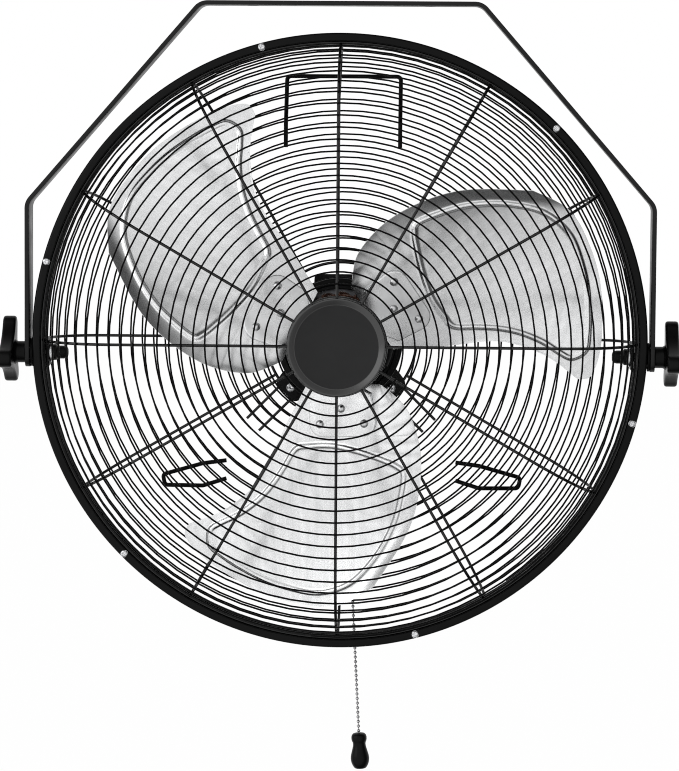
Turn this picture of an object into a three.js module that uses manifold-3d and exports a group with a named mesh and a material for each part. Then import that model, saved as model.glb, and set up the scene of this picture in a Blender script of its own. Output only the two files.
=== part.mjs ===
// Wall mounted fan, 560 mm across its rim, held in a strap yoke by two clamping knobs.
// Millimetres. +Z is up, the fan faces -Y, and +X is to the right as seen from the front.
// The origin is the middle of the yoke's top face, which is screwed to the wall or ceiling.
// The head and the rotor are groups with their own origin on the fan's axis, in the middle of
// the rim band. Angles round the fan's axis run from +X towards +Z.

import * as THREE from "three";
import { mergeVertices } from "three/addons/utils/BufferGeometryUtils.js";
import Module from "manifold-3d";

const wasm = await Module();
wasm.setup();

// ---------------------------------------------------------------- driving dimensions

const SEAT = 0.3; // between a piece and the one that it rests on
const PLAY = 0.4; // round a bolt, screw, rivet or shaft in its hole

// Rim band: a rolled sheet ring with a flange turned in at each edge
const RIM_RADIUS = 280;
const RIM_DEPTH = 31;
const RIM_SHEET = 1.5;
const RIM_FLANGE = 7.5;
const RIM_SCREWS = 6;
const RIM_SCREW_START = 45; // degrees, the first screw
const RIM_SCREW_HEAD = 3.4; // radius

// Wire guards: one spiral of thin wire welded on twelve radial spokes, front and rear
const SPIRAL_WIRE = 1.7;
const SPOKE_WIRE = 2.7;
const RING_WIRE = 4.2;
const SPIRAL_PITCH = 10.7;
const SPOKES = 12;
const CORNER_TURN = 80; // degrees that a guard bends through between its face and the rim
const FRONT_DEPTH = 58; // the front guard's face, in front of the rim band
const REAR_DEPTH = 42;
const FRONT_HUB = 44; // radius of the ring that the front spokes end on
const REAR_HUB = 70;
const FRONT_SPIRAL_START = 51;
const REAR_SPIRAL_START = 71;
const TOP_SPOKE_ASIDE = 3.6; // the rear guard's top spoke to the left of the middle

// Centre cap
const CAP_RADIUS = 44;
const CAP_RISE = 9;
const CAP_BEVEL = 6;
const CAP_SHEET = 1.6;

// Yoke: a flat strap bent over the head
const YOKE_WIDTH = 32;
const YOKE_SHEET = 4;
const YOKE_HEADROOM = 24.5; // between the rim and the strap's top bar
const YOKE_RISE = RIM_RADIUS + YOKE_HEADROOM + YOKE_SHEET; // the top face above the axis
const YOKE_TOP_HALF = 127; // from the middle to the upper bends
const YOKE_SHOULDER = 125; // height of the lower bends above the fan's axis
const YOKE_BEND = 14;
const YOKE_TAIL = 13; // below the pivot
const YOKE_END_CORNER = 10;
const YOKE_HOLE = 5.25; // radius of the fixing holes
const YOKE_HOLE_SPAN = 160; // between the fixing holes

// Pivots and clamping knobs
const PIVOT_DROP = 12; // the pivots below the fan's axis
const PIVOT_BOLT = 4; // radius
const PIVOT_WASHER = 13;
const PIVOT_WASHER_SHEET = 2;
const BOLT_WASHER = 9;
const BOLT_WASHER_SHEET = 2;
const PIVOT_BRACKET_DEPTH = 11;
const PIVOT_BRACKET_HEIGHT = 28;
const PIVOT_BRACKET_SHEET = 2.5;
const KNOB_RADIUS = 34;
const KNOB_THICKNESS = 12;
const KNOB_NECK = 9.8;
const KNOB_NECK_LENGTH = 10;
const KNOB_LOBE = 8.5; // radius of a lobe's end
const KNOB_REST = 20; // degrees that the upper lobe leans from the vertical

// Motor
const MOTOR_RADIUS = 45;
const MOTOR_LENGTH = 64;
const MOTOR_SHEET = 1.6;
const STATOR_LENGTH = 24;
const STATOR_BORE = 27;
const WINDING_RADIUS = 41.5;
const WINDING_DEPTH = 10;
const BEARING_RADIUS = 11;
const BEARING_LENGTH = 9;
const SHAFT_RADIUS = 5;
const PLATE_SHEET = 2.5;
const EAR_WIDTH = 38;
const EAR_REACH = 76;
const TOP_EAR_WIDTH = 51;
const TOP_EAR_REACH = 59;
const EAR_SCREW_RADIUS = 66; // of the lower ears' screws from the axis
const TOP_EAR_SCREW_RADIUS = 50;
const EAR_SCREW_HEAD = 4.2;
const EAR_WIRE_GAP = 16; // between the two wires that carry an ear
const EAR_WIRE_REACH = 116;

// Blades
const BLADE_RADIUS = 243;
const BLADE_SHEET = 1.2;
const BLADE_ANGLE = 33.5; // degrees, direction of the first blade's arm
const BLADE_PITCH = 22; // degrees, at the arm
const BLADE_TIP_PITCH = 15;
const BLADE_CAMBER = 9;
const BLADE_PANEL = 2.5; // height of the embossed panel
const ARM_REACH = 85;
const ARM_WIDTH = 62;
const ARM_SHEET = 2.5;
const HUB_RADIUS = 14;
const HUB_LENGTH = 26;
const RIVET_SHANK = 1.9;
const RIVET_HEAD = 3.6;
const RIVET_INNER = ARM_REACH - 26; // the inner rivet from the axis
const RIVET_OUTER = ARM_REACH - 12;
const RIVET_SPREAD = 22; // the outer rivets to either side of the arm's middle

// Switch housing on the motor's back, pull switch and chain
const HOUSING_WIDTH = 62;
const HOUSING_HEIGHT = 92;
const HOUSING_DROP = 4; // its middle below the fan's axis
const HOUSING_DEPTH = 34;
const HOUSING_WALL = 2.2;
const HOUSING_CORNER = 9;
const SWITCH_X = 2; // the pull switch from the housing's middle
const SWITCH_BUSHING = 4.5;
const GLAND_X = -13;
const GLAND_RADIUS = 6;
const GLAND_LENGTH = 12;
const GLAND_BORE = 3.6; // radius
const EYELET_RADIUS = 3;
const EYELET_LENGTH = 9;
const CHAIN_BEAD = 3.2;
const CHAIN_LENGTH = 310.5;
const CHAIN_LEAN = 3; // degrees to the right
const PULL_LENGTH = 34;
const PULL_RADIUS = 8.75;

// Wire loops behind the rear guard
const LOOP_WIRE = 4;
const LOOP_BEND = 6;
const HANGER_HALF = 53;
const HANGER_LOW = 176; // its feet above the axis
const HANGER_HIGH = 242;
const HANGER_STAND = 22; // its bar behind the guard
const HOOK_INNER = 107; // a hook's feet to the side of the axis
const HOOK_OUTER = 168;
const HOOK_DROP = 125; // its middle below the axis
const HOOK_WIDTH = 17;
const HOOK_SAG = 7; // its free end below its feet
const HOOK_STAND = 16;

// ---------------------------------------------------------------- finishes

const finish = (color, roughness, metalness) =>
  new THREE.MeshStandardMaterial({ color, roughness, metalness, flatShading: true });
const BLACK_PAINT = finish(0x1d1e1f, 0.42, 0.3);
const BLACK_PLASTIC = finish(0x17181a, 0.35, 0);
const CAP_PAINT = finish(0x2e2f30, 0.5, 0.2);
const ALUMINIUM = finish(0xc4c7ca, 0.36, 0.95);
const STEEL = finish(0xb4b6b8, 0.3, 1);
const COPPER = finish(0x9a4f2c, 0.35, 0.9);
const LAMINATION = finish(0x6d6f72, 0.5, 0.8);
const CHROME = finish(0xd0d2d4, 0.15, 1);

// ---------------------------------------------------------------- shared tools

const rad = THREE.MathUtils.degToRad;
const X_AXIS = new THREE.Vector3(1, 0, 0);
const vec = (x, y, z) => new THREE.Vector3(x, y, z);

// A closed geometry as a solid whose faces point out.
function solid(geometry) {
  const bare = geometry.clone();
  bare.deleteAttribute("normal");
  bare.deleteAttribute("uv");
  const merged = mergeVertices(bare, 1e-4);
  const vertProperties = new Float32Array(merged.attributes.position.array);
  const triVerts = new Uint32Array(merged.index.array);
  const made = new wasm.Manifold(new wasm.Mesh({ numProp: 3, vertProperties, triVerts }));
  if (made.volume() > 0) return made;
  return new wasm.Manifold(
    new wasm.Mesh({ numProp: 3, vertProperties, triVerts: triVerts.reverse() }),
  );
}

const join = (first, ...others) => others.reduce((whole, other) => whole.add(other), first);
const cut = (first, ...others) => others.reduce((left, other) => left.subtract(other), first);

function meshOf(name, shape, material) {
  const body = shape.isBufferGeometry ? solid(shape) : shape;
  const { numProp, vertProperties, triVerts } = body.getMesh();
  const position = new Float32Array((vertProperties.length / numProp) * 3);
  for (let i = 0; i < position.length / 3; i++)
    position.set(vertProperties.subarray(i * numProp, i * numProp + 3), i * 3);
  const geometry = new THREE.BufferGeometry();
  geometry.setAttribute("position", new THREE.BufferAttribute(position, 3));
  geometry.setIndex(new THREE.BufferAttribute(new Uint32Array(triVerts), 1));
  geometry.computeVertexNormals();
  const mesh = new THREE.Mesh(geometry, material);
  mesh.name = name;
  return mesh;
}

// A body turned round the Y axis from a profile of [radius, y] pairs; a ring's profile closes.
function turned(profile, segments, closes = false) {
  const points = profile.map(([r, y]) => new THREE.Vector2(r, y));
  if (closes) points.push(points[0].clone());
  return new THREE.LatheGeometry(points, segments);
}

// A round bar between two coordinates on the Y axis.
function barY(radius, from, to, sides) {
  return new THREE.CylinderGeometry(radius, radius, to - from, sides).translate(
    0,
    (from + to) / 2,
    0,
  );
}
const alongX = (geometry) => geometry.rotateZ(-Math.PI / 2);
// Turns a shape's X and Y into Y and Z, and its depth into X.
const LYING = new THREE.Matrix4().makeBasis(vec(0, 1, 0), vec(0, 0, 1), vec(1, 0, 0));
const alongZ = (geometry) => geometry.rotateX(Math.PI / 2);

// An outline in X and Z, given thickness along Y between two coordinates.
function plateY(shape, from, to, curveSegments = 6) {
  const geometry = new THREE.ExtrudeGeometry(shape, {
    depth: to - from,
    bevelEnabled: false,
    curveSegments,
  });
  return geometry.rotateX(Math.PI / 2).translate(0, to, 0);
}

function roundedRectangle(width, height, corner) {
  const [x, y] = [width / 2, height / 2];
  const shape = new THREE.Shape();
  shape.moveTo(-x + corner, -y);
  shape.absarc(x - corner, -y + corner, corner, -Math.PI / 2, 0);
  shape.absarc(x - corner, y - corner, corner, 0, Math.PI / 2);
  shape.absarc(-x + corner, y - corner, corner, Math.PI / 2, Math.PI);
  shape.absarc(-x + corner, -y + corner, corner, Math.PI, 1.5 * Math.PI);
  return shape;
}

// A closed body through rings of equally many points, with flat ends.
function loft(rings) {
  const sides = rings[0].length;
  const last = (rings.length - 1) * sides;
  const index = [];
  for (let ring = 0; ring < rings.length - 1; ring++) {
    for (let side = 0; side < sides; side++) {
      const a = ring * sides + side;
      const b = ring * sides + ((side + 1) % sides);
      index.push(a, b, b + sides, a, b + sides, a + sides);
    }
  }
  for (let side = 1; side < sides - 1; side++) {
    index.push(0, side + 1, side);
    index.push(last, last + side, last + side + 1);
  }
  const geometry = new THREE.BufferGeometry().setFromPoints(rings.flat());
  return geometry.setIndex(index);
}

// Points along a path of straight runs whose corners are rounded to a radius.
function roundedPath(corners, radius, steps) {
  const path = [corners[0]];
  for (let i = 1; i < corners.length - 1; i++) {
    const back = corners[i - 1].clone().sub(corners[i]).normalize();
    const ahead = corners[i + 1].clone().sub(corners[i]).normalize();
    const half = back.angleTo(ahead) / 2;
    const setback = radius / Math.tan(half);
    const towards = back.clone().add(ahead).normalize();
    const centre = towards.multiplyScalar(radius / Math.sin(half)).add(corners[i]);
    const from = back.multiplyScalar(setback).add(corners[i]).sub(centre);
    const to = ahead.multiplyScalar(setback).add(corners[i]).sub(centre);
    const sweep = from.angleTo(to);
    for (let step = 0; step <= steps; step++) {
      const part = step / steps;
      const a = Math.sin((1 - part) * sweep) / Math.sin(sweep);
      const b = Math.sin(part * sweep) / Math.sin(sweep);
      path.push(from.clone().multiplyScalar(a).addScaledVector(to, b).add(centre));
    }
  }
  path.push(corners[corners.length - 1]);
  return path;
}

// A round wire along a path, with one ring of points square to the path at each of its points.
function wireAlong(path, radius, sides) {
  let across = null;
  const rings = path.map((point, i) => {
    const ahead = path[Math.min(i + 1, path.length - 1)].clone().sub(path[Math.max(i - 1, 0)]);
    ahead.normalize();
    if (!across) across = Math.abs(ahead.x) < 0.9 ? X_AXIS.clone() : vec(0, 0, 1);
    across.addScaledVector(ahead, -across.dot(ahead)).normalize();
    const up = ahead.clone().cross(across);
    return Array.from({ length: sides }, (_, side) => {
      const turn = (2 * Math.PI * (side + 0.5)) / sides;
      return point
        .clone()
        .addScaledVector(across, radius * Math.cos(turn))
        .addScaledVector(up, radius * Math.sin(turn));
    });
  });
  return loft(rings);
}

// A screw, rivet or bolt along Y with its domed head at y = 0 and its shank towards +Y.
function headed(headRadius, headHeight, shankRadius, shankLength, sides) {
  return turned(
    [
      [0, -headHeight],
      [headRadius * 0.5, -headHeight],
      [headRadius, 0],
      [shankRadius, 0],
      [shankRadius, shankLength],
      [0, shankLength],
    ],
    sides,
  );
}

// ---------------------------------------------------------------- guards

const RIM_FRONT = -RIM_DEPTH / 2;
const RIM_REAR = RIM_DEPTH / 2;
const RIM_MOUTH = RIM_RADIUS - RIM_FLANGE; // inner radius of the flanges
const RIM_INNER = RIM_RADIUS - RIM_SHEET;
const RIM_SEGMENTS = 3 * SPOKES;

// The spiral's section is a triangle, and a spoke's a square, each of its round wire's area.
const TRIANGLE = SPIRAL_WIRE * Math.sqrt(Math.PI / Math.sqrt(3));
const SPIRAL_INNER = TRIANGLE / (2 * Math.sqrt(3)); // from the spiral's middle to its flat side
const SPIRAL_OUTER = TRIANGLE / Math.sqrt(3);
const SPOKE_SIDE = (SPOKE_WIRE * Math.sqrt(Math.PI)) / 2;
const SPOKE_LEVEL = -(SPIRAL_INNER + SEAT + SPOKE_SIDE / 2); // the spokes inside of the spiral

// The spiral's surface: a flat face, then a bend towards the rim.
// outward is -1 for the front guard and 1 for the rear one.
function guardForm(outward, depth) {
  const corner = depth / (1 - Math.cos(rad(CORNER_TURN)));
  const entry = RIM_MOUTH - SPOKE_SIDE;
  const flat = entry - corner * Math.sin(rad(CORNER_TURN));
  const face = outward * (RIM_DEPTH / 2 + depth);
  const whole = flat + corner * rad(CORNER_TURN); // length of the profile, from the axis
  // The point at a length along the profile and an angle, raised off the surface, moved along
  // the profile and moved round the axis.
  const point = (length, angle, raise = 0, along = 0, around = 0) => {
    const bend = Math.min(Math.max((length - flat) / corner, 0), rad(CORNER_TURN));
    const over = Math.min(length, flat);
    const rest = Math.max(length - whole, 0);
    const r =
      over +
      corner * Math.sin(bend) +
      raise * Math.sin(bend) +
      (along + rest) * Math.cos(bend);
    const fall = corner * (1 - Math.cos(bend)) + (along + rest) * Math.sin(bend);
    const y = face + outward * (raise * Math.cos(bend) - fall);
    const [c, s] = [Math.cos(angle), Math.sin(angle)];
    return vec(r * c - around * s, y, r * s + around * c);
  };
  return { outward, flat, corner, face, whole, point };
}

const FRONT = guardForm(-1, FRONT_DEPTH);
const REAR = guardForm(1, REAR_DEPTH);

// Triangular wire wound outwards, clockwise as seen from the front.
function spiral(form, inner, startAngle) {
  const rings = [];
  const stepsInTurn = 2 * SPOKES;
  const end = form.whole - SPIRAL_WIRE;
  let step = 0;
  while (inner + (SPIRAL_PITCH * step) / stepsInTurn < end) {
    const length = inner + (SPIRAL_PITCH * step) / stepsInTurn;
    const angle = startAngle - (2 * Math.PI * step) / stepsInTurn;
    rings.push([
      form.point(length, angle, SPIRAL_OUTER, 0),
      form.point(length, angle, -SPIRAL_INNER, TRIANGLE / 2),
      form.point(length, angle, -SPIRAL_INNER, -TRIANGLE / 2),
    ]);
    step += 1;
  }
  return loft(rings);
}

// The ring at the rim lies behind the band's flange.
const RING_RADIUS = RIM_MOUTH - RING_WIRE / 2 + 1;
const RING_LEVEL = RIM_DEPTH / 2 - RIM_SHEET - SEAT - RING_WIRE / 2;

// One spoke from a radius out to that ring. Where it stands aside of the radius, its bend brings
// it back.
function spoke(form, inner, angle, bends, aside = 0) {
  const half = SPOKE_SIDE / 2;
  const lengths = [inner];
  for (let i = 0; i <= bends; i++)
    lengths.push(form.flat + ((form.whole - form.flat) * i) / bends);
  const rings = lengths.map((length) => {
    const back = Math.max((length - form.flat) / (form.whole - form.flat), 0);
    const middle = aside * (1 - back);
    return [
      [-half, -half],
      [half, -half],
      [half, half],
      [-half, half],
    ].map(([raise, around]) =>
      form.point(length, angle, SPOKE_LEVEL + raise, 0, middle + around),
    );
  });
  // Its end turns out into the ring.
  const into = vec(
    RING_RADIUS * Math.cos(angle),
    form.outward * RING_LEVEL,
    RING_RADIUS * Math.sin(angle),
  ).sub(form.point(form.whole, angle, SPOKE_LEVEL));
  rings.push(rings[rings.length - 1].map((point) => point.clone().add(into)));
  return loft(rings);
}

function squareRing(radius, y, side, segments) {
  const h = side / 2;
  const profile = [
    [radius - h, y - h],
    [radius + h, y - h],
    [radius + h, y + h],
    [radius - h, y + h],
  ];
  return turned(profile, segments, true);
}

// Spokes with the ring at their inner ends and the ring at the rim.
function spokeFrame(form, hub, bends) {
  const level = form.face + form.outward * SPOKE_LEVEL;
  const parts = [
    squareRing(hub, level, SPOKE_SIDE, 2 * SPOKES),
    squareRing(RING_RADIUS, form.outward * RING_LEVEL, RING_WIRE, 2 * SPOKES),
  ];
  for (let i = 0; i < SPOKES; i++) {
    const isTop = form === REAR && 4 * i === SPOKES;
    const aside = isTop ? TOP_SPOKE_ASIDE : 0;
    parts.push(spoke(form, hub, (2 * Math.PI * i) / SPOKES, bends, aside));
  }
  return join(...parts.map(solid));
}

const TOP_EAR = 90; // degrees, direction of the motor plate's top ear
const EAR_DIRECTIONS = [TOP_EAR, 225, 315];

// Straight wires under the ears of the motor's plate, at the spokes' level: two under each
// lower ear, and under the top one a short one in line with the top spoke.
function earWires() {
  const level = REAR.face + SPOKE_LEVEL;
  const inner = REAR_HUB - 14;
  const wire = (direction, aside, outer) => {
    const box = new THREE.BoxGeometry(outer - inner, SPOKE_SIDE, SPOKE_SIDE);
    box.translate((outer + inner) / 2, level, aside);
    return solid(box.rotateY(-rad(direction)));
  };
  return EAR_DIRECTIONS.flatMap((direction) =>
    direction === TOP_EAR
      ? [wire(direction, TOP_SPOKE_ASIDE, REAR_HUB + 2)]
      : [-1, 1].map((side) => wire(direction, (side * EAR_WIRE_GAP) / 2, EAR_WIRE_REACH)),
  );
}

function makeGuards() {
  const rearSpokes = join(spokeFrame(REAR, REAR_HUB, 3), ...earWires());
  const frontSpiral = spiral(FRONT, FRONT_SPIRAL_START, rad(270));
  const rearSpiral = spiral(REAR, REAR_SPIRAL_START, rad(90));
  return [
    meshOf("front_guard_spiral", frontSpiral, BLACK_PAINT),
    meshOf("front_guard_spokes", spokeFrame(FRONT, FRONT_HUB, 4), BLACK_PAINT),
    meshOf("rear_guard_spiral", rearSpiral, BLACK_PAINT),
    meshOf("rear_guard_spokes", rearSpokes, BLACK_PAINT),
  ];
}

// ---------------------------------------------------------------- centre cap

// A pressed cap in front of the guard and a dished plate behind it, clamped on the hub ring.
function makeCap() {
  const seat = FRONT.face + SPIRAL_INNER + SEAT; // the spokes' front side
  const back = seat - SEAT;
  const front = back - CAP_RISE;
  const inside = CAP_RADIUS - CAP_SHEET;
  const boss = 5;
  const plateFront = seat + SPOKE_SIDE + SEAT;
  const cap = turned(
    [
      [0, front],
      [CAP_RADIUS - CAP_BEVEL, front],
      [CAP_RADIUS - 1, front + CAP_BEVEL * 0.75],
      [CAP_RADIUS, front + CAP_BEVEL],
      [CAP_RADIUS, back],
      [inside, back],
      [inside, front + CAP_BEVEL],
      [CAP_RADIUS - CAP_BEVEL - 1, front + CAP_SHEET],
      [boss, front + CAP_SHEET],
      [boss, plateFront - SEAT],
      [0, plateFront - SEAT],
    ],
    30,
  );
  const plate = turned(
    [
      [0, plateFront],
      [FRONT_HUB + 1, plateFront],
      [FRONT_HUB + 1, plateFront + CAP_SHEET],
      [FRONT_HUB - 6, plateFront + CAP_SHEET + 2],
      [0, plateFront + CAP_SHEET + 2],
    ],
    20,
  );
  return [
    meshOf("centre_cap", cap, CAP_PAINT),
    meshOf("cap_backing_plate", plate, BLACK_PAINT),
  ];
}

// ---------------------------------------------------------------- rim band

const PIVOT_Z = -PIVOT_DROP;
const SIDES = [
  ["left", -1],
  ["right", 1],
];

function makeRim() {
  const inner = RIM_INNER;
  const half = RIM_DEPTH / 2;
  const profile = [
    [RIM_RADIUS, -half],
    [RIM_MOUTH, -half],
    [RIM_MOUTH, -half + RIM_SHEET],
    [inner, -half + RIM_SHEET],
    [inner, half - RIM_SHEET],
    [RIM_MOUTH, half - RIM_SHEET],
    [RIM_MOUTH, half],
    [RIM_RADIUS, half],
  ];
  const holes = [];
  const screwCircle = RIM_RADIUS - RIM_FLANGE / 2 - 0.2;
  const shank = 1.3;
  const meshes = [];
  for (let i = 0; i < RIM_SCREWS; i++) {
    const angle = rad(RIM_SCREW_START + (360 / RIM_SCREWS) * i);
    const [x, z] = [screwCircle * Math.cos(angle), screwCircle * Math.sin(angle)];
    holes.push(solid(barY(shank + PLAY, RIM_FRONT - 1, RIM_FRONT + 3, 6).translate(x, 0, z)));
    const screw = headed(RIM_SCREW_HEAD, 1.8, shank, 7, 5);
    const mesh = meshOf("rim_screw_" + (i + 1), screw, STEEL);
    mesh.position.set(x, RIM_FRONT - SEAT, z);
    meshes.push(mesh);
  }
  for (const [, side] of SIDES) {
    const hole = alongX(barY(PIVOT_BOLT + PLAY, -8, 8, 12));
    holes.push(solid(hole.translate(side * RIM_RADIUS, 0, PIVOT_Z)));
  }
  const band = solid(turned(profile, RIM_SEGMENTS, true));
  return [meshOf("rim_band", cut(band, ...holes), BLACK_PAINT), ...meshes];
}

// ---------------------------------------------------------------- pivots and knobs

// The bracket's feet clear the band's flats where these come nearest.
const BRACKET_LOW = PIVOT_DROP + PIVOT_BRACKET_HEIGHT / 2;
const BRACKET_OUTER =
  Math.sqrt((RIM_INNER * Math.cos(Math.PI / RIM_SEGMENTS)) ** 2 - BRACKET_LOW ** 2) - SEAT;
const BRACKET_INNER = BRACKET_OUTER - PIVOT_BRACKET_DEPTH;
const WASHER_INNER = RIM_RADIUS + SEAT;
const ARM_INNER = WASHER_INNER + PIVOT_WASHER_SHEET + SEAT; // the yoke's inner face at a pivot
const ARM_OUTER = ARM_INNER + YOKE_SHEET;
const KNOB_SEAT = ARM_OUTER + SEAT;

// A channel section with its web towards the middle and its feet against the band.
function pivotBracket() {
  const h = PIVOT_BRACKET_HEIGHT / 2;
  const t = PIVOT_BRACKET_SHEET;
  const width = 2 * (RING_LEVEL - RING_WIRE / 2 - SEAT); // between the guards' rings
  const shape = new THREE.Shape();
  shape.moveTo(BRACKET_OUTER, -h);
  shape.lineTo(BRACKET_INNER + 3, -h);
  shape.lineTo(BRACKET_INNER, -h + 4);
  shape.lineTo(BRACKET_INNER, h - 4);
  shape.lineTo(BRACKET_INNER + 3, h);
  shape.lineTo(BRACKET_OUTER, h);
  shape.lineTo(BRACKET_OUTER, h - t);
  shape.lineTo(BRACKET_INNER + t + 1, h - t);
  shape.lineTo(BRACKET_INNER + t, h - t - 1);
  shape.lineTo(BRACKET_INNER + t, -h + t + 1);
  shape.lineTo(BRACKET_INNER + t + 1, -h + t);
  shape.lineTo(BRACKET_OUTER, -h + t);
  const channel = solid(plateY(shape, -width / 2, width / 2));
  const bore = alongX(barY(PIVOT_BOLT + PLAY, BRACKET_INNER - 5, BRACKET_OUTER + 5, 12));
  return cut(channel, solid(bore));
}

// The bolt's capped head inside of the bracket, and its threaded end in the knob.
function pivotBolt() {
  const seat = BRACKET_INNER - SEAT - BOLT_WASHER_SHEET - SEAT;
  const end = KNOB_SEAT + KNOB_NECK_LENGTH + 4;
  const head = alongX(
    turned(
      [
        [0, seat - 14],
        [4.6, seat - 13],
        [6, seat - 10],
        [6, seat - 4],
        [7.4, seat - 3],
        [7.4, seat],
        [PIVOT_BOLT, seat],
        [PIVOT_BOLT, end],
        [0, end],
      ],
      10,
    ),
  );
  return head;
}

function washerX(radius, bore, from, to, sides) {
  const profile = [
    [bore, from],
    [radius, from],
    [radius, to],
    [bore, to],
  ];
  return alongX(turned(profile, sides, true));
}

// Three lobes on a neck, with a blind thread from the neck's end.
function clampKnob() {
  const centre = KNOB_RADIUS - KNOB_LOBE;
  const waist = KNOB_RADIUS * 0.42;
  const shape = new THREE.Shape();
  for (let lobe = 0; lobe < 3; lobe++) {
    const angle = rad(90 + KNOB_REST) + (lobe * 2 * Math.PI) / 3;
    const [x, y] = [centre * Math.cos(angle), centre * Math.sin(angle)];
    const start = angle - Math.PI / 2;
    const [sx, sy] = [x + KNOB_LOBE * Math.cos(start), y + KNOB_LOBE * Math.sin(start)];
    if (lobe === 0) shape.moveTo(sx, sy);
    shape.absarc(x, y, KNOB_LOBE, start, start + Math.PI);
    const between = angle + Math.PI / 3;
    const next = angle + (2 * Math.PI) / 3;
    const ends = next - Math.PI / 2;
    shape.quadraticCurveTo(
      waist * Math.cos(between),
      waist * Math.sin(between),
      centre * Math.cos(next) + KNOB_LOBE * Math.cos(ends),
      centre * Math.sin(next) + KNOB_LOBE * Math.sin(ends),
    );
  }
  const bevel = 2.5;
  const lobes = new THREE.ExtrudeGeometry(shape, {
    depth: KNOB_THICKNESS - 2 * bevel,
    bevelThickness: bevel,
    bevelSize: 2,
    bevelOffset: -2,
    bevelSegments: 1,
    curveSegments: 4,
  });
  const neckEnd = KNOB_SEAT;
  const lobesAt = neckEnd + KNOB_NECK_LENGTH;
  lobes.applyMatrix4(LYING).translate(lobesAt + bevel, 0, 0);
  const neck = alongX(
    turned(
      [
        [0, neckEnd],
        [KNOB_NECK, neckEnd],
        [KNOB_NECK, lobesAt - 2],
        [KNOB_NECK + 3, lobesAt + 3],
        [0, lobesAt + 3],
      ],
      12,
    ),
  );
  const thread = alongX(barY(PIVOT_BOLT + PLAY, neckEnd - 1, lobesAt + 6, 12));
  return cut(join(solid(lobes), solid(neck)), solid(thread));
}

function makePivots() {
  const headPieces = [];
  const yokePieces = [];
  const knobs = [];
  for (const [name, side] of SIDES) {
    const inBand = (mesh) => {
      mesh.position.z = PIVOT_Z;
      if (side < 0) mesh.rotation.z = Math.PI;
      return mesh;
    };
    const washer = washerX(
      BOLT_WASHER,
      PIVOT_BOLT + PLAY,
      BRACKET_INNER - SEAT - BOLT_WASHER_SHEET,
      BRACKET_INNER - SEAT,
      10,
    );
    const friction = washerX(
      PIVOT_WASHER,
      PIVOT_BOLT + PLAY,
      WASHER_INNER,
      WASHER_INNER + PIVOT_WASHER_SHEET,
      12,
    );
    headPieces.push(
      inBand(meshOf(name + "_pivot_bracket", pivotBracket(), BLACK_PAINT)),
      inBand(meshOf(name + "_pivot_bolt", pivotBolt(), BLACK_PLASTIC)),
      inBand(meshOf(name + "_bolt_washer", washer, STEEL)),
    );
    yokePieces.push(inBand(meshOf(name + "_friction_washer", friction, BLACK_PLASTIC)));
    knobs.push(inBand(meshOf(name + "_knob", clampKnob(), BLACK_PLASTIC)));
  }
  return { headPieces, yokePieces, knobs };
}

// ---------------------------------------------------------------- yoke

// The strap's outline from the front: its middle line, thickened to both sides.
function strapOutline() {
  const half = YOKE_SHEET / 2;
  const x = ARM_INNER + half;
  const top = YOKE_RISE - half;
  const line = roundedPath(
    [
      vec(-x, PIVOT_Z - YOKE_TAIL, 0),
      vec(-x, YOKE_SHOULDER, 0),
      vec(-YOKE_TOP_HALF, top, 0),
      vec(YOKE_TOP_HALF, top, 0),
      vec(x, YOKE_SHOULDER, 0),
      vec(x, PIVOT_Z - YOKE_TAIL, 0),
    ],
    YOKE_BEND,
    3,
  );
  const offset = (distance) =>
    line.map((point, i) => {
      const before = point.clone().sub(line[Math.max(i - 1, 0)]).normalize();
      const after = line[Math.min(i + 1, line.length - 1)].clone().sub(point).normalize();
      if (i === 0) before.copy(after);
      if (i === line.length - 1) after.copy(before);
      const normal = vec(-before.y - after.y, before.x + after.x, 0).normalize();
      const miter = distance / normal.dot(vec(-before.y, before.x, 0));
      return new THREE.Vector2(point.x + normal.x * miter, point.y + normal.y * miter);
    });
  return new THREE.Shape([...offset(half), ...offset(-half).reverse()]);
}

function makeYoke() {
  const strap = plateY(strapOutline(), -YOKE_WIDTH / 2, YOKE_WIDTH / 2);
  const wide = 2 * ARM_OUTER + 10;
  // Seen from the side, the strap's two ends are rounded; above them nothing is taken off.
  const low = PIVOT_Z - YOKE_TAIL;
  const tall = 2 * (YOKE_RISE - low);
  const side = roundedRectangle(YOKE_WIDTH + 1, tall, YOKE_END_CORNER);
  const block = new THREE.ExtrudeGeometry(side, {
    depth: wide,
    bevelEnabled: false,
    curveSegments: 3,
  });
  const envelope = solid(
    block.applyMatrix4(LYING).translate(-wide / 2, 0, low + tall / 2),
  );
  const holes = SIDES.map(([, sign]) =>
    solid(alongX(barY(PIVOT_BOLT + PLAY, -10, 10, 12)).translate(sign * ARM_INNER, 0, PIVOT_Z)),
  );
  for (const [, sign] of SIDES) {
    const hole = alongZ(barY(YOKE_HOLE, -10, 10, 16));
    holes.push(solid(hole.translate((sign * YOKE_HOLE_SPAN) / 2, 0, YOKE_RISE)));
  }
  return meshOf("yoke_bracket", cut(solid(strap).intersect(envelope), ...holes), BLACK_PAINT);
}

// ---------------------------------------------------------------- motor

const PLATE_REAR = REAR.face + SPOKE_LEVEL - SPOKE_SIDE / 2 - SEAT;
const PLATE_FRONT = PLATE_REAR - PLATE_SHEET;
const BELL_REAR = PLATE_FRONT - SEAT;
const BELL_FRONT = BELL_REAR - MOTOR_LENGTH;
const STATOR_REAR = (BELL_REAR + BELL_FRONT + STATOR_LENGTH) / 2;
const STATOR_FRONT = STATOR_REAR - STATOR_LENGTH;

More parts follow.
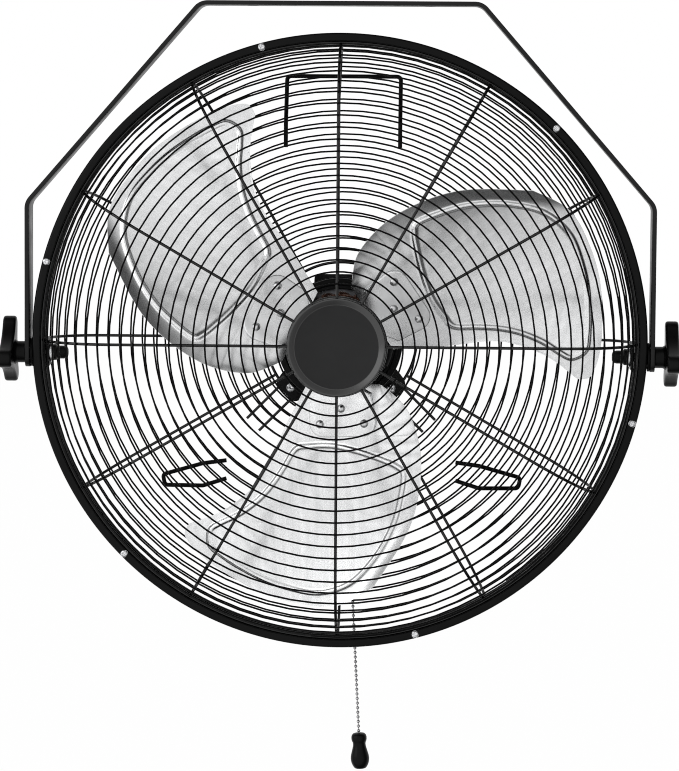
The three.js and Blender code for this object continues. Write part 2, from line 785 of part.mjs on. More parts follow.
// Three ears on a round plate; the lower two reach further out.
function motorPlate() {
  const disc = solid(barY(MOTOR_RADIUS - 1, PLATE_FRONT, PLATE_REAR, 18));
  const parts = [];
  const holes = [solid(barY(20, PLATE_FRONT - 1, PLATE_REAR + 1, 12))];
  for (const direction of EAR_DIRECTIONS) {
    const isTop = direction === TOP_EAR;
    const reach = isTop ? TOP_EAR_REACH : EAR_REACH;
    const screw = isTop ? TOP_EAR_SCREW_RADIUS : EAR_SCREW_RADIUS;
    const half = (isTop ? TOP_EAR_WIDTH : EAR_WIDTH) / 2;
    const taper = isTop ? 0 : 5; // narrower towards the end, to each side
    const corner = isTop ? 2.5 : 6;
    const shape = new THREE.Shape();
    shape.moveTo(20, taper ? -half - 2 : -half);
    shape.lineTo(reach - corner, taper - half);
    shape.lineTo(reach, taper + corner - half);
    shape.lineTo(reach, half - corner - taper);
    shape.lineTo(reach - corner, half - taper);
    shape.lineTo(20, taper ? half + 2 : half);
    parts.push(solid(plateY(shape, PLATE_FRONT, PLATE_REAR).rotateY(-rad(direction))));
    const hole = barY(2.5 + PLAY, PLATE_FRONT - 1, PLATE_REAR + 1, 8);
    holes.push(solid(hole.translate(screw, 0, 0).rotateY(-rad(direction))));
  }
  return cut(join(disc, ...parts), ...holes);
}

// A pressed cup with windows in its end and a seat for a bearing; facing is -1 or 1.
function motorBell(facing) {
  const open = facing < 0 ? STATOR_FRONT - SEAT : STATOR_REAR + SEAT;
  const end = facing < 0 ? BELL_FRONT : BELL_REAR;
  const seat = BEARING_RADIUS + SEAT;
  const y = (inset) => end - facing * inset;
  const shell = solid(
    turned(
      [
        [SHAFT_RADIUS + 1.5, y(0)],
        [MOTOR_RADIUS - 8, y(0)],
        [MOTOR_RADIUS, y(6)],
        [MOTOR_RADIUS, open],
        [MOTOR_RADIUS - MOTOR_SHEET, open],
        [MOTOR_RADIUS - MOTOR_SHEET, y(6.5)],
        [MOTOR_RADIUS - 8.5, y(MOTOR_SHEET)],
        [seat + 2, y(MOTOR_SHEET)],
        [seat + 2, y(BEARING_LENGTH + 2)],
        [seat, y(BEARING_LENGTH + 2)],
        [seat, y(2)],
        [SHAFT_RADIUS + 1.5, y(2)],
      ],
      16,
      true,
    ),
  );
  const windows = [];
  const count = 4;
  for (let i = 0; i < count; i++) {
    const window = new THREE.BoxGeometry(20, 14, 18);
    window.translate(MOTOR_RADIUS - 4, y(6), 0);
    windows.push(solid(window.rotateY(-rad(90 + (360 / count) * i))));
  }
  return cut(shell, ...windows);
}

const SLOTS = 4;
const SLOT_RADIUS = STATOR_BORE + 6;

function slotBars(grow) {
  return Array.from({ length: SLOTS }, (_, i) => {
    const size = 7 + 2 * grow;
    const bar = new THREE.BoxGeometry(size, STATOR_LENGTH + WINDING_DEPTH, size);
    bar.translate(SLOT_RADIUS, (STATOR_FRONT + STATOR_REAR) / 2, 0);
    return solid(bar.rotateY(-rad((360 / SLOTS) * i + 45)));
  });
}

function windingRing(from, to) {
  const inner = STATOR_BORE + 1.5;
  const profile = [
    [inner, from],
    [WINDING_RADIUS - 2, from],
    [WINDING_RADIUS, from + 2],
    [WINDING_RADIUS, to - 2],
    [WINDING_RADIUS - 2, to],
    [inner, to],
  ];
  return solid(turned(profile, 16, true));
}

function ringY(outer, inner, from, to, sides) {
  const profile = [
    [inner, from],
    [outer, from],
    [outer, to],
    [inner, to],
  ];
  return turned(profile, sides, true);
}

function makeMotor() {
  const coreRing = ringY(MOTOR_RADIUS - 0.6, STATOR_BORE, STATOR_FRONT, STATOR_REAR, 16);
  const core = cut(solid(coreRing), ...slotBars(SEAT));
  const winding = join(
    windingRing(STATOR_FRONT - SEAT - WINDING_DEPTH, STATOR_FRONT - SEAT),
    windingRing(STATOR_REAR + SEAT, STATOR_REAR + SEAT + WINDING_DEPTH),
    ...slotBars(0),
  );
  const bearing = (from) =>
    ringY(BEARING_RADIUS, SHAFT_RADIUS + PLAY, from, from + BEARING_LENGTH - 1, 12);
  const meshes = [
    meshOf("motor_mount_plate", motorPlate(), BLACK_PAINT),
    meshOf("motor_front_bell", motorBell(-1), BLACK_PAINT),
    meshOf("motor_rear_bell", motorBell(1), BLACK_PAINT),
    meshOf("stator_core", core, LAMINATION),
    meshOf("stator_winding", winding, COPPER),
    meshOf("front_bearing", bearing(BELL_FRONT + 2 + SEAT), STEEL),
    meshOf("rear_bearing", bearing(BELL_REAR - 1 - SEAT - BEARING_LENGTH), STEEL),
  ];
  EAR_DIRECTIONS.forEach((direction, i) => {
    const radius = direction === TOP_EAR ? TOP_EAR_SCREW_RADIUS : EAR_SCREW_RADIUS;
    const screw = headed(EAR_SCREW_HEAD, 3, 2.5, PLATE_SHEET + 9, 8);
    const mesh = meshOf("mount_screw_" + (i + 1), screw, STEEL);
    const angle = rad(direction);
    mesh.position.set(
      radius * Math.cos(angle),
      PLATE_FRONT - SEAT,
      radius * Math.sin(angle),
    );
    meshes.push(mesh);
  });
  return meshes;
}

// ---------------------------------------------------------------- rotor and blades

const HUB_FRONT = BELL_FRONT - HUB_LENGTH - 4;
const ARM_LEVEL = BELL_FRONT - 14; // the arms' back face, at the fan's axis

// Blade outline: X along the arm and Y towards the trailing edge, as shares of the radius.
const share = (points) =>
  new THREE.SplineCurve(
    points.map(([x, y]) => new THREE.Vector2(x * BLADE_RADIUS, y * BLADE_RADIUS)),
  );
const TRAILING = share([
  [0.156, 0.148],
  [0.255, 0.247],
  [0.44, 0.285],
  [0.679, 0.232],
  [0.914, 0.082],
]);
const LEADING = share([
  [0.156, -0.132],
  [0.329, -0.233],
  [0.506, -0.327],
  [0.617, -0.461],
  [0.671, -0.601],
]);
const TIP = share([
  [0.671, -0.601],
  [0.724, -0.619],
  [0.823, -0.535],
  [0.934, -0.362],
  [0.984, -0.202],
  [0.988, -0.058],
  [0.914, 0.082],
]);

// A point of the blade's plan: out from root to tip, over from the leading to the trailing edge.
function bladePlan(out, over) {
  const low = LEADING.getPointAt(out);
  const high = TRAILING.getPointAt(out);
  const tip = TIP.getPointAt(over);
  const [rootLow, rootHigh] = [LEADING.getPoint(0), TRAILING.getPoint(0)];
  const root = rootLow.clone().lerp(rootHigh, over);
  const [tipLow, tipHigh] = [LEADING.getPoint(1), TRAILING.getPoint(1)];
  const corners = root.clone().lerp(tipLow.clone().lerp(tipHigh, over), out);
  return low.lerp(high, over).add(root.lerp(tip, out)).sub(corners);
}

const PANEL_OUT = [0.3, 0.35, 0.86, 0.91]; // shares of the way out where the panel rises, falls
const PANEL_OVER = [0.1, 0.15, 0.85, 0.9];

// The blade's height off its arm's plane: twist and camber past the arm, and the panel.
function bladeHeight(plan, out, over) {
  const past = Math.max((plan.x - ARM_REACH) / (BLADE_RADIUS - ARM_REACH), 0);
  const twist = plan.y * Math.tan(rad(BLADE_PITCH - BLADE_TIP_PITCH) * past);
  const camber = BLADE_CAMBER * Math.min(2 * past, 1) * (1 - (2 * over - 1) ** 2);
  const rises = (value, [a, b, c, d]) =>
    THREE.MathUtils.clamp(Math.min((value - a) / (b - a), (d - value) / (d - c)), 0, 1);
  const panel = BLADE_PANEL * Math.min(rises(out, PANEL_OUT), rises(over, PANEL_OVER));
  return twist + camber - panel;
}

// A sheet with its front and back surface and a wall round its edge.
function bladeSheet() {
  const outs = [0, 0.12, 0.3, 0.35, 0.5, 0.68, 0.86, 0.91, 1];
  const overs = [0, 0.1, 0.15, 0.38, 0.62, 0.85, 0.9, 1];
  const lift = 1 / Math.cos(rad(BLADE_PITCH));
  const points = [];
  for (const back of [0, BLADE_SHEET]) {
    for (const out of outs) {
      for (const over of overs) {
        const plan = bladePlan(out, over);
        points.push(vec(plan.x, bladeHeight(plan, out, over) + back, plan.y * lift));
      }
    }
  }
  const wide = overs.length;
  const count = outs.length * wide;
  const index = [];
  const quad = (a, b, c, d) => index.push(a, b, c, a, c, d);
  for (let i = 0; i < outs.length - 1; i++) {
    for (let j = 0; j < wide - 1; j++) {
      const a = i * wide + j;
      quad(a, a + wide, a + wide + 1, a + 1);
      quad(count + a, count + a + 1, count + a + wide + 1, count + a + wide);
    }
  }
  const edge = [];
  for (let j = 0; j < wide - 1; j++) edge.push([j, j + 1]);
  for (let i = 0; i < outs.length - 1; i++) edge.push([(i + 1) * wide - 1, (i + 2) * wide - 1]);
  for (let j = wide - 1; j > 0; j--) edge.push([count - wide + j, count - wide + j - 1]);
  for (let i = outs.length - 1; i > 0; i--) edge.push([i * wide, (i - 1) * wide]);
  for (const [a, b] of edge) quad(a, b, b + count, a + count);
  return new THREE.BufferGeometry().setFromPoints(points).setIndex(index);
}

const RIVETS = [
  [RIVET_INNER, 0],
  [RIVET_OUTER, RIVET_SPREAD],
  [RIVET_OUTER, -RIVET_SPREAD],
];

const rivetHoles = () =>
  RIVETS.map(([x, z]) => solid(barY(RIVET_SHANK + PLAY, -20, 20, 6).translate(x, 0, z)));

// An arm lies along +X in its own plane, with its back face at y = 0.
function armPlate() {
  const half = ARM_WIDTH / 2;
  const corner = 14;
  const shape = new THREE.Shape();
  shape.moveTo(0, -6);
  shape.lineTo(HUB_RADIUS + 6, -8);
  shape.quadraticCurveTo(36, -10, 46, -half + 3);
  shape.lineTo(ARM_REACH - corner, -half);
  shape.absarc(ARM_REACH - corner, -half + corner, corner, -Math.PI / 2, 0);
  shape.absarc(ARM_REACH - corner, half - corner, corner, 0, Math.PI / 2);
  shape.lineTo(46, half - 3);
  shape.quadraticCurveTo(36, 10, HUB_RADIUS + 6, 8);
  shape.lineTo(0, 6);
  return cut(solid(plateY(shape, -ARM_SHEET, 0, 2)), ...rivetHoles());
}

// From an arm's own plane to the rotor's frame.
function armMatrix(index) {
  const place = new THREE.Matrix4().makeTranslation(0, ARM_LEVEL, 0);
  const around = new THREE.Matrix4().makeRotationY(-rad(BLADE_ANGLE + 120 * index));
  const pitch = new THREE.Matrix4().makeRotationX(rad(BLADE_PITCH));
  return place.multiply(around).multiply(pitch);
}

function makeRotor() {
  const rotor = new THREE.Group();
  const bore = SHAFT_RADIUS + PLAY;
  const hubProfile = [
    [bore, HUB_FRONT],
    [HUB_RADIUS - 2, HUB_FRONT],
    [HUB_RADIUS, HUB_FRONT + 2],
    [HUB_RADIUS + 6, ARM_LEVEL - 8],
    [HUB_RADIUS + 6, ARM_LEVEL + 7],
    [bore, ARM_LEVEL + 7],
  ];
  const hub = solid(turned(hubProfile, 12, true));
  const arms = [0, 1, 2].map((i) => armPlate().transform(armMatrix(i).toArray()));
  const clearBore = solid(barY(bore, HUB_FRONT - 1, ARM_LEVEL + 9, 12));
  rotor.add(meshOf("blade_spider", cut(join(hub, ...arms), clearBore), ALUMINIUM));
  for (let i = 0; i < 3; i++) {
    const arm = new THREE.Group();
    arm.applyMatrix4(armMatrix(i));
    const sheet = cut(solid(bladeSheet().translate(0, SEAT, 0)), ...rivetHoles());
    arm.add(meshOf("blade_" + (i + 1), sheet, ALUMINIUM));
    RIVETS.forEach(([x, z], j) => {
      const shankLength = ARM_SHEET + SEAT + SEAT + BLADE_SHEET + 2;
      const rivet = meshOf(
        "rivet_" + (i + 1) + "abc"[j],
        headed(RIVET_HEAD, 2.4, RIVET_SHANK, shankLength, 5),
        STEEL,
      );
      rivet.position.set(x, -ARM_SHEET - SEAT, z);
      arm.add(rivet);
    });
    rotor.add(arm);
  }
  const shaft = turned(
    [
      [0, HUB_FRONT - 2],
      [SHAFT_RADIUS - 1, HUB_FRONT - 2],
      [SHAFT_RADIUS, HUB_FRONT - 1],
      [SHAFT_RADIUS, BELL_REAR - 2.5],
      [0, BELL_REAR - 2.5],
    ],
    12,
  );
  rotor.add(meshOf("rotor_shaft", shaft, STEEL));
  const core = ringY(STATOR_BORE - 0.8, SHAFT_RADIUS + SEAT, STATOR_FRONT, STATOR_REAR, 16);
  rotor.add(meshOf("rotor_core", core, LAMINATION));
  return rotor;
}

// ---------------------------------------------------------------- switch housing and chain

const HOUSING_FRONT = PLATE_REAR + SEAT;
const HOUSING_REAR = HOUSING_FRONT + HOUSING_DEPTH;
const HOUSING_BOTTOM = -HOUSING_DROP - HOUSING_HEIGHT / 2;
const SWITCH_Y = HOUSING_FRONT + HOUSING_DEPTH * 0.55;
const BUSHING_END = HOUSING_BOTTOM - 5;

// A moulded box that is open towards the motor's plate.
function switchHousing() {
  const outer = roundedRectangle(HOUSING_WIDTH, HOUSING_HEIGHT, HOUSING_CORNER);
  const inner = roundedRectangle(
    HOUSING_WIDTH - 2 * HOUSING_WALL,
    HOUSING_HEIGHT - 2 * HOUSING_WALL,
    HOUSING_CORNER - HOUSING_WALL,
  );
  const bevel = 3;
  const block = new THREE.ExtrudeGeometry(outer, {
    depth: HOUSING_DEPTH - bevel,
    bevelThickness: bevel,
    bevelSize: bevel,
    bevelOffset: -bevel,
    bevelSegments: 1,
    curveSegments: 3,
  });
  block.rotateX(Math.PI / 2).translate(0, HOUSING_REAR - bevel, -HOUSING_DROP);
  const front = new THREE.BoxGeometry(HOUSING_WIDTH * 2, 40, HOUSING_HEIGHT * 2);
  front.translate(0, HOUSING_FRONT - 20, 0);
  const hollow = plateY(inner, HOUSING_FRONT - 5, HOUSING_REAR - HOUSING_WALL, 2);
  hollow.translate(0, 0, -HOUSING_DROP);
  const hole = (x, radius) =>
    solid(alongZ(barY(radius, -8, 8, 12)).translate(x, SWITCH_Y, HOUSING_BOTTOM));
  return cut(
    solid(block),
    solid(front),
    solid(hollow),
    hole(SWITCH_X, SWITCH_BUSHING + PLAY),
    hole(GLAND_X, GLAND_RADIUS - 1 + PLAY),
  );
}

// A body turned round a vertical axis through the pull switch, or beside it.
function turnedZ(profile, segments, closes = false) {
  return alongZ(turned(profile, segments, closes));
}

function pullSwitch() {
  const floor = HOUSING_BOTTOM + HOUSING_WALL + SEAT;
  const body = new THREE.BoxGeometry(14, 20, 22).translate(0, 0, floor + 11);
  const bushing = alongZ(barY(SWITCH_BUSHING, BUSHING_END, floor + 4, 12));
  const bore = alongZ(barY(1.6, BUSHING_END - 1, floor + 14, 8));
  return cut(join(solid(body), solid(bushing)), solid(bore));
}

const EYELET_TOP = BUSHING_END - SEAT;
const EYELET_BOTTOM = EYELET_TOP - EYELET_LENGTH;

function pullEyelet() {
  return turnedZ(
    [
      [0, EYELET_TOP + 14],
      [1.2, EYELET_TOP + 14],
      [1.2, EYELET_TOP],
      [EYELET_RADIUS, EYELET_TOP - 1],
      [EYELET_RADIUS, EYELET_BOTTOM + 2],
      [EYELET_RADIUS - 1, EYELET_BOTTOM],
      [0, EYELET_BOTTOM],
    ],
    10,
  );
}

function cordGland() {
  const floor = HOUSING_BOTTOM;
  return turnedZ(
    [
      [GLAND_BORE, floor + HOUSING_WALL + 2],
      [GLAND_RADIUS, floor + HOUSING_WALL + 2],
      [GLAND_RADIUS, floor + HOUSING_WALL + SEAT],
      [GLAND_RADIUS - 1, floor + HOUSING_WALL + SEAT],
      [GLAND_RADIUS - 1, floor - SEAT],
      [GLAND_RADIUS + 1.5, floor - SEAT],
      [GLAND_RADIUS + 1.5, floor - 3],
      [GLAND_RADIUS - 1, floor - GLAND_LENGTH],
      [GLAND_BORE, floor - GLAND_LENGTH],
    ],
    10,
    true,
  );
}

// The chain hangs straight from the eyelet, leaning a little to the right, and swings about the
// middle of its first bead.
function makeChain() {
  const lean = rad(CHAIN_LEAN);
  const along = vec(Math.sin(lean), 0, -Math.cos(lean));
  const bead = CHAIN_BEAD / 2;
  const start = vec(SWITCH_X, SWITCH_Y, EYELET_BOTTOM - SEAT - bead);
  const reach = CHAIN_LENGTH - bead;
  const chain = turned(
    [
      [0, -bead],
      [bead * 0.7, -bead * 0.7],
      [bead, 0],
      [bead, reach],
      [0, reach],
    ],
    8,
  );
  const r = PULL_RADIUS;
  const pull = turned(
    [
      [0, 0],
      [r * 0.6, 0],
      [r * 0.83, PULL_LENGTH * 0.06],
      [r * 0.83, PULL_LENGTH * 0.2],
      [r * 0.68, PULL_LENGTH * 0.3],
      [r * 0.72, PULL_LENGTH * 0.42],
      [r, PULL_LENGTH * 0.66],
      [r * 0.94, PULL_LENGTH * 0.86],
      [r * 0.64, PULL_LENGTH],
      [0, PULL_LENGTH],
    ],
    12,
  );
  const place = (mesh, distance) => {
    mesh.quaternion.setFromUnitVectors(vec(0, 1, 0), along);
    mesh.position.copy(start).addScaledVector(along, distance);
    return mesh;
  };
  return [
    place(meshOf("pull_chain", chain, CHROME), 0),
    place(meshOf("pull_knob", pull, BLACK_PLASTIC), reach + SEAT),
  ];
}

function makeSwitchGear() {
  const housing = meshOf("switch_housing", switchHousing(), BLACK_PLASTIC);
  const pull = meshOf("pull_switch", pullSwitch(), BLACK_PLASTIC);
  pull.position.set(SWITCH_X, SWITCH_Y, 0);
  const eyelet = meshOf("pull_eyelet", pullEyelet(), CHROME);
  eyelet.position.set(SWITCH_X, SWITCH_Y, 0);
  const gland = meshOf("cord_gland", cordGland(), BLACK_PLASTIC);
  gland.position.set(GLAND_X, SWITCH_Y, 0);
  const capacitor = solid(barY(12, -20, 20, 14));
  const capacitorMesh = meshOf("capacitor", capacitor, LAMINATION);
  capacitorMesh.rotation.z = Math.PI / 2;
  const shelf = HOUSING_HEIGHT / 2 - HOUSING_DROP - HOUSING_WALL - SEAT - 12;
  capacitorMesh.position.set(0, HOUSING_REAR - HOUSING_WALL - SEAT - 12, shelf);
  return [housing, pull, eyelet, gland, capacitorMesh];
}

// ---------------------------------------------------------------- wire loops

const LOOP_SEAT = REAR.face + SPIRAL_OUTER + SEAT + LOOP_WIRE / 2;

function wireLoop(name, corners) {
  const path = roundedPath(corners, LOOP_BEND, 2);
  return meshOf(name, wireAlong(path, LOOP_WIRE / 2, 6), BLACK_PAINT);
}

function makeLoops() {
  const bar = LOOP_SEAT + HANGER_STAND;
  const rise = HANGER_LOW + 22;
  const hanger = [
    vec(-HANGER_HALF, LOOP_SEAT, HANGER_LOW),
    vec(-HANGER_HALF, LOOP_SEAT, rise),
    vec(-HANGER_HALF, bar, HANGER_HIGH),
    vec(HANGER_HALF, bar, HANGER_HIGH),
    vec(HANGER_HALF, LOOP_SEAT, rise),
    vec(HANGER_HALF, LOOP_SEAT, HANGER_LOW),
  ];
  const half = HOOK_WIDTH / 2;
  const out = LOOP_SEAT + HOOK_STAND;
  const bend = HOOK_INNER + 22;
  const hook = (side) => [
    vec(side * HOOK_INNER, LOOP_SEAT, -HOOK_DROP + half),
    vec(side * bend, LOOP_SEAT, -HOOK_DROP + half - 3),
    vec(side * HOOK_OUTER, out, -HOOK_DROP - HOOK_SAG),
    vec(side * (HOOK_OUTER - 2), out, -HOOK_DROP - HOOK_SAG - half - 1.5),
    vec(side * bend, LOOP_SEAT, -HOOK_DROP - half - HOOK_SAG),
    vec(side * HOOK_INNER, LOOP_SEAT, -HOOK_DROP - half),
  ];
  return [
    wireLoop("hanger_loop", hanger),
    ...SIDES.map(([name, side]) => wireLoop(name + "_cord_hook", hook(side))),
  ];
}

// ---------------------------------------------------------------- the whole fan

const fan = new THREE.Group();
const head = new THREE.Group();
head.position.z = -YOKE_RISE;
const pivots = makePivots();
head.add(
  ...makeRim(),
  ...makeGuards(),
  ...makeCap(),
  ...pivots.headPieces,
  ...makeMotor(),
  ...makeSwitchGear(),
  ...makeLoops(),
  ...makeChain(),
  makeRotor(),
);
const frame = new THREE.Group();
frame.position.z = -YOKE_RISE;
frame.add(makeYoke(), ...pivots.yokePieces, ...pivots.knobs);
fan.add(head, frame);

export default fan;
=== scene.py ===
"""The looks of the wall mounted fan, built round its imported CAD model.

Shapes are written in millimetres, in the frame of the CAD model, and scaled to metres when they
are made. Most of them are written round the fan's axis, whose middle is HEAD.
"""

import math
import random

import bmesh
import bpy
import numpy as np
from mathutils import Matrix, Vector


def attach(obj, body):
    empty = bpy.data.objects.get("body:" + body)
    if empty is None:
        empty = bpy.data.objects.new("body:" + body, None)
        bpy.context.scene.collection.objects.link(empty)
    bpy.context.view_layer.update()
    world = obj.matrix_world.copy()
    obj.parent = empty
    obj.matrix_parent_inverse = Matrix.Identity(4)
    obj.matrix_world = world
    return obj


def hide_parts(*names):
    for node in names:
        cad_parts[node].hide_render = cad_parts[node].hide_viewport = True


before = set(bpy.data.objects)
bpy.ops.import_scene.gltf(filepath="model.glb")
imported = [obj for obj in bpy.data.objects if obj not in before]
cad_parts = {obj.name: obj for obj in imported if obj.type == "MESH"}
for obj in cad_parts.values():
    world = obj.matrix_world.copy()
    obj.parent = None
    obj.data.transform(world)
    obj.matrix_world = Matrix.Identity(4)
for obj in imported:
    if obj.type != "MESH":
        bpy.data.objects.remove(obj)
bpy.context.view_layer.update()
scene = bpy.context.scene

MM = 0.001
HEAD = Vector((0, 0, -308.5))

# ---------------------------------------------------------------- dimensions, mm

SEAT = 0.3
RIM_RADIUS, RIM_DEPTH, RIM_SHEET, RIM_MOUTH = 280, 31, 1.5, 272.5
SPIRAL_WIRE, SPOKE_WIRE, RING_WIRE, SPIRAL_PITCH, SPOKES = 1.7, 2.7, 4.2, 10.7, 12
CORNER_TURN = math.radians(80)
FRONT_DEPTH, REAR_DEPTH, FRONT_HUB, REAR_HUB = 58, 42, 44, 70
FRONT_SPIRAL_START, REAR_SPIRAL_START, TOP_SPOKE_ASIDE, CAP_RISE = 51, 71, 3.6, 9
FRONT_FACE, REAR_FACE = -RIM_DEPTH / 2 - FRONT_DEPTH, RIM_DEPTH / 2 + REAR_DEPTH
# The CAD model's wires are faceted: their outlines hold as much metal as the round ones.
TRIANGLE = SPIRAL_WIRE * math.sqrt(math.pi / math.sqrt(3))
SPIRAL_INNER, SPIRAL_OUTER = TRIANGLE / (2 * math.sqrt(3)), TRIANGLE / math.sqrt(3)
SPOKE_SIDE = SPOKE_WIRE * math.sqrt(math.pi) / 2
SPOKE_LEVEL = -(SPIRAL_INNER + SEAT + SPOKE_SIDE / 2)
RING_RADIUS, RING_LEVEL = 271.4, 11.6
PIVOT_Z = -12
ARM_INNER, ARM_OUTER, KNOB_SEAT = 282.6, 286.6, 286.9
BRACKET_OUTER, BRACKET_INNER = 275.9, 264.9
YOKE_SHOULDER, YOKE_TOP_HALF = 125, 127
KNOB_RADIUS, KNOB_LOBE, KNOB_REST = 34, 8.5, math.radians(20)
TOP_EAR = 90
EARS = (TOP_EAR, 225, 315)
PLATE_REAR = REAR_FACE + SPOKE_LEVEL - SPOKE_SIDE / 2 - SEAT
PLATE_FRONT = PLATE_REAR - 2.5
BELL_REAR = PLATE_FRONT - SEAT
BELL_FRONT = BELL_REAR - 64
STATOR_REAR = (BELL_REAR + BELL_FRONT + 24) / 2
STATOR_FRONT = STATOR_REAR - 24
ARM_LEVEL, HUB_FRONT = BELL_FRONT - 14, BELL_FRONT - 30
BLADE_RADIUS, BLADE_ANGLE, ARM_REACH, ARM_HALF = 243, 33.5, 85, 33
BLADE_PITCH, BLADE_TIP_PITCH = math.radians(22), math.radians(15)
HOUSING_FRONT, HOUSING_REAR = PLATE_REAR + SEAT, PLATE_REAR + SEAT + 34
SWITCH_X, SWITCH_Y = 2, HOUSING_FRONT + 18.7
GLAND_X = -13
CHAIN_BEAD, CHAIN_PITCH, CHAIN_LENGTH = 3.2, 4.36, 310.5
CHAIN_LEAN = math.radians(3)
LOOP_SEAT = REAR_FACE + SPIRAL_OUTER + SEAT + 2
HOOK_INNER, HOOK_BEND, HOOK_OUTER, HOOK_DROP = 107, 129, 168, 125
HANGER_HALF, HANGER_FOOT, HANGER_BEND, HANGER_HIGH = 53, 176, 198, 242
RIM_SCREWS, RIM_SCREW_START, RIM_SCREW_CIRCLE, RIM_SCREW_HEAD = 6, 45, 276.05, 3.5
RIM_SEAM = 1.25  # degrees above the middle, on the left
RIM_SEAM_HALF, RIM_SEAM_IN, RIM_SEAM_NARROW = 2, 1 - 0.0016, 0.965
YOKE_HALF, YOKE_SHEET, YOKE_TOP, YOKE_TAIL, YOKE_BEND = 16, 4, 306.5, 13, 14
YOKE_END_CORNER, YOKE_HOLE, YOKE_HOLE_SIDE = 10.0, 5.25, 80
BELL_RADIUS, BELL_LIP, PLATE_RADIUS, STATOR_RADIUS, STATOR_BORE = 49.5, 57.6, 52.0, 48, 27
COILS, COIL_RADIUS, COIL_WIRE = 18, 40, 1.5

# ---------------------------------------------------------------- camera

CAMERA_AZIMUTH, CAMERA_ELEVATION, CAMERA_ROLL = (math.radians(a) for a in (1.9, 3.9, 0.38))
CAMERA_DISTANCE = 3000
AIM = HEAD + Vector((0.3, 0, -40.4))


def make_camera():
    data = bpy.data.cameras.new("camera")
    data.lens = 153.4
    data.sensor_width = 36
    data.clip_start, data.clip_end = 0.1, 60
    camera = bpy.data.objects.new("camera", data)
    scene.collection.objects.link(camera)
    round_z, up = CAMERA_AZIMUTH, CAMERA_ELEVATION
    back = Vector((math.sin(round_z), -math.cos(round_z), math.tan(up))) * math.cos(up)
    camera.location = (HEAD + back * CAMERA_DISTANCE) * MM
    look = (AIM * MM - camera.location).normalized()
    turn = look.to_track_quat("-Z", "Y").to_matrix().to_4x4()
    camera.rotation_euler = (turn @ Matrix.Rotation(CAMERA_ROLL, 4, "Z")).to_euler()
    scene.camera = camera


make_camera()

# ---------------------------------------------------------------- materials


def new_node(tree, kind, *values, **named):
    """A new node. Values without a name go to its first inputs, and names with a capital are
    inputs too. The other names are settings. A value that is a socket is linked."""
    made = tree.nodes.new(kind)
    inputs = list(zip(made.inputs, values))
    for key, value in named.items():
        if key[0].isupper():
            inputs.append((made.inputs[key.replace("_", " ")], value))
        else:
            setattr(made, key, value)
    for socket, value in inputs:
        if isinstance(value, bpy.types.NodeSocket):
            tree.links.new(value, socket)
        else:
            socket.default_value = value
    return made


class Material:
    """A Principled material with its nodes, made from small named steps."""

    def __init__(self, name, rough=0.4, metal=0.0, **sockets):
        self.material = bpy.data.materials.new(name)
        self.material.use_nodes = True
        self.tree = self.material.node_tree
        self.shader = self.tree.nodes["Principled BSDF"]
        for socket, value in {"Roughness": rough, "Metallic": metal, **sockets}.items():
            self.shader.inputs[socket.replace("_", " ")].default_value = value
        self.coordinates = self.node("ShaderNodeTexCoord").outputs["Object"]

    def node(self, kind, **named):
        return new_node(self.tree, kind, **named)

    def link(self, source, target):
        self.tree.links.new(source, target)

    def noise(self, scale, detail=3, stretch=(1, 1, 1)):
        place = self.node("ShaderNodeMapping", Scale=stretch, Vector=self.coordinates).outputs[0]
        made = self.node("ShaderNodeTexNoise", Scale=scale, Detail=detail, Vector=place)
        return made.outputs["Fac"]

    def wave(self, scale, direction, distortion=0.0):
        made = self.node("ShaderNodeTexWave", bands_direction=direction, Scale=scale)
        made.inputs["Distortion"].default_value = distortion
        self.link(self.coordinates, made.inputs["Vector"])
        return made.outputs["Fac"]

    def colour(self, value, low, high):
        made = self.node("ShaderNodeValToRGB")
        made.color_ramp.elements[0].position = 0.3
        made.color_ramp.elements[0].color = (*low, 1)
        made.color_ramp.elements[1].position = 0.7
        made.color_ramp.elements[1].color = (*high, 1)
        self.link(value, made.inputs["Fac"])
        self.link(made.outputs["Color"], self.shader.inputs["Base Color"])

    def roughness(self, value, low, high):
        made = self.node("ShaderNodeMapRange", Value=value, From_Min=0.3, From_Max=0.7)
        made.inputs["To Min"].default_value, made.inputs["To Max"].default_value = low, high
        self.link(made.outputs["Result"], self.shader.inputs["Roughness"])

    def bump(self, value, strength, distance):
        made = self.node("ShaderNodeBump", Strength=strength, Distance=distance, Height=value)
        earlier = self.shader.inputs["Normal"]
        if earlier.is_linked:
            self.link(earlier.links[0].from_socket, made.inputs["Normal"])
        self.link(made.outputs["Normal"], earlier)


def grey(value):
    return (value, value * 1.01, value * 1.03)


def coated_paint(name, dark, light, rough, grain, shine=0.16):
    """Baked paint: faint colour drift, an orange-peel skin and fine dust."""
    made = Material(name, Specular_IOR_Level=shine)
    made.colour(made.noise(14, 4), grey(dark), grey(light))
    made.roughness(made.noise(55, 3), rough - 0.05, rough + 0.07)
    made.bump(made.noise(grain, 2), 0.1, 0.0003)
    made.bump(made.noise(2600, 1), 0.05, 0.0001)
    return made.material


def moulded(name, dark, light, rough, grain=1500):
    made = Material(name, Specular_IOR_Level=0.09)
    made.colour(made.noise(20, 3), grey(dark), grey(light))
    made.roughness(made.noise(90, 3), rough - 0.05, rough + 0.08)
    made.bump(made.noise(grain, 2), 0.14, 0.00015)
    return made.material


def bare_metal(name, dark, light, rough, strength=0.08, streaks=(1, 1, 1), along=None):
    """Bare metal. Its grain runs along the axis with the small scale, in the space of the mesh
    or of the attribute named along."""
    made = Material(name, metal=1.0)
    if along:
        made.coordinates = made.node("ShaderNodeAttribute", attribute_name=along).outputs["Vector"]
    grain = made.noise(60, 5, streaks)
    made.colour(grain, dark, light)
    made.roughness(made.noise(26, 4), rough - 0.05, rough + 0.07)
    made.bump(grain, strength, 0.0002)
    return made.material


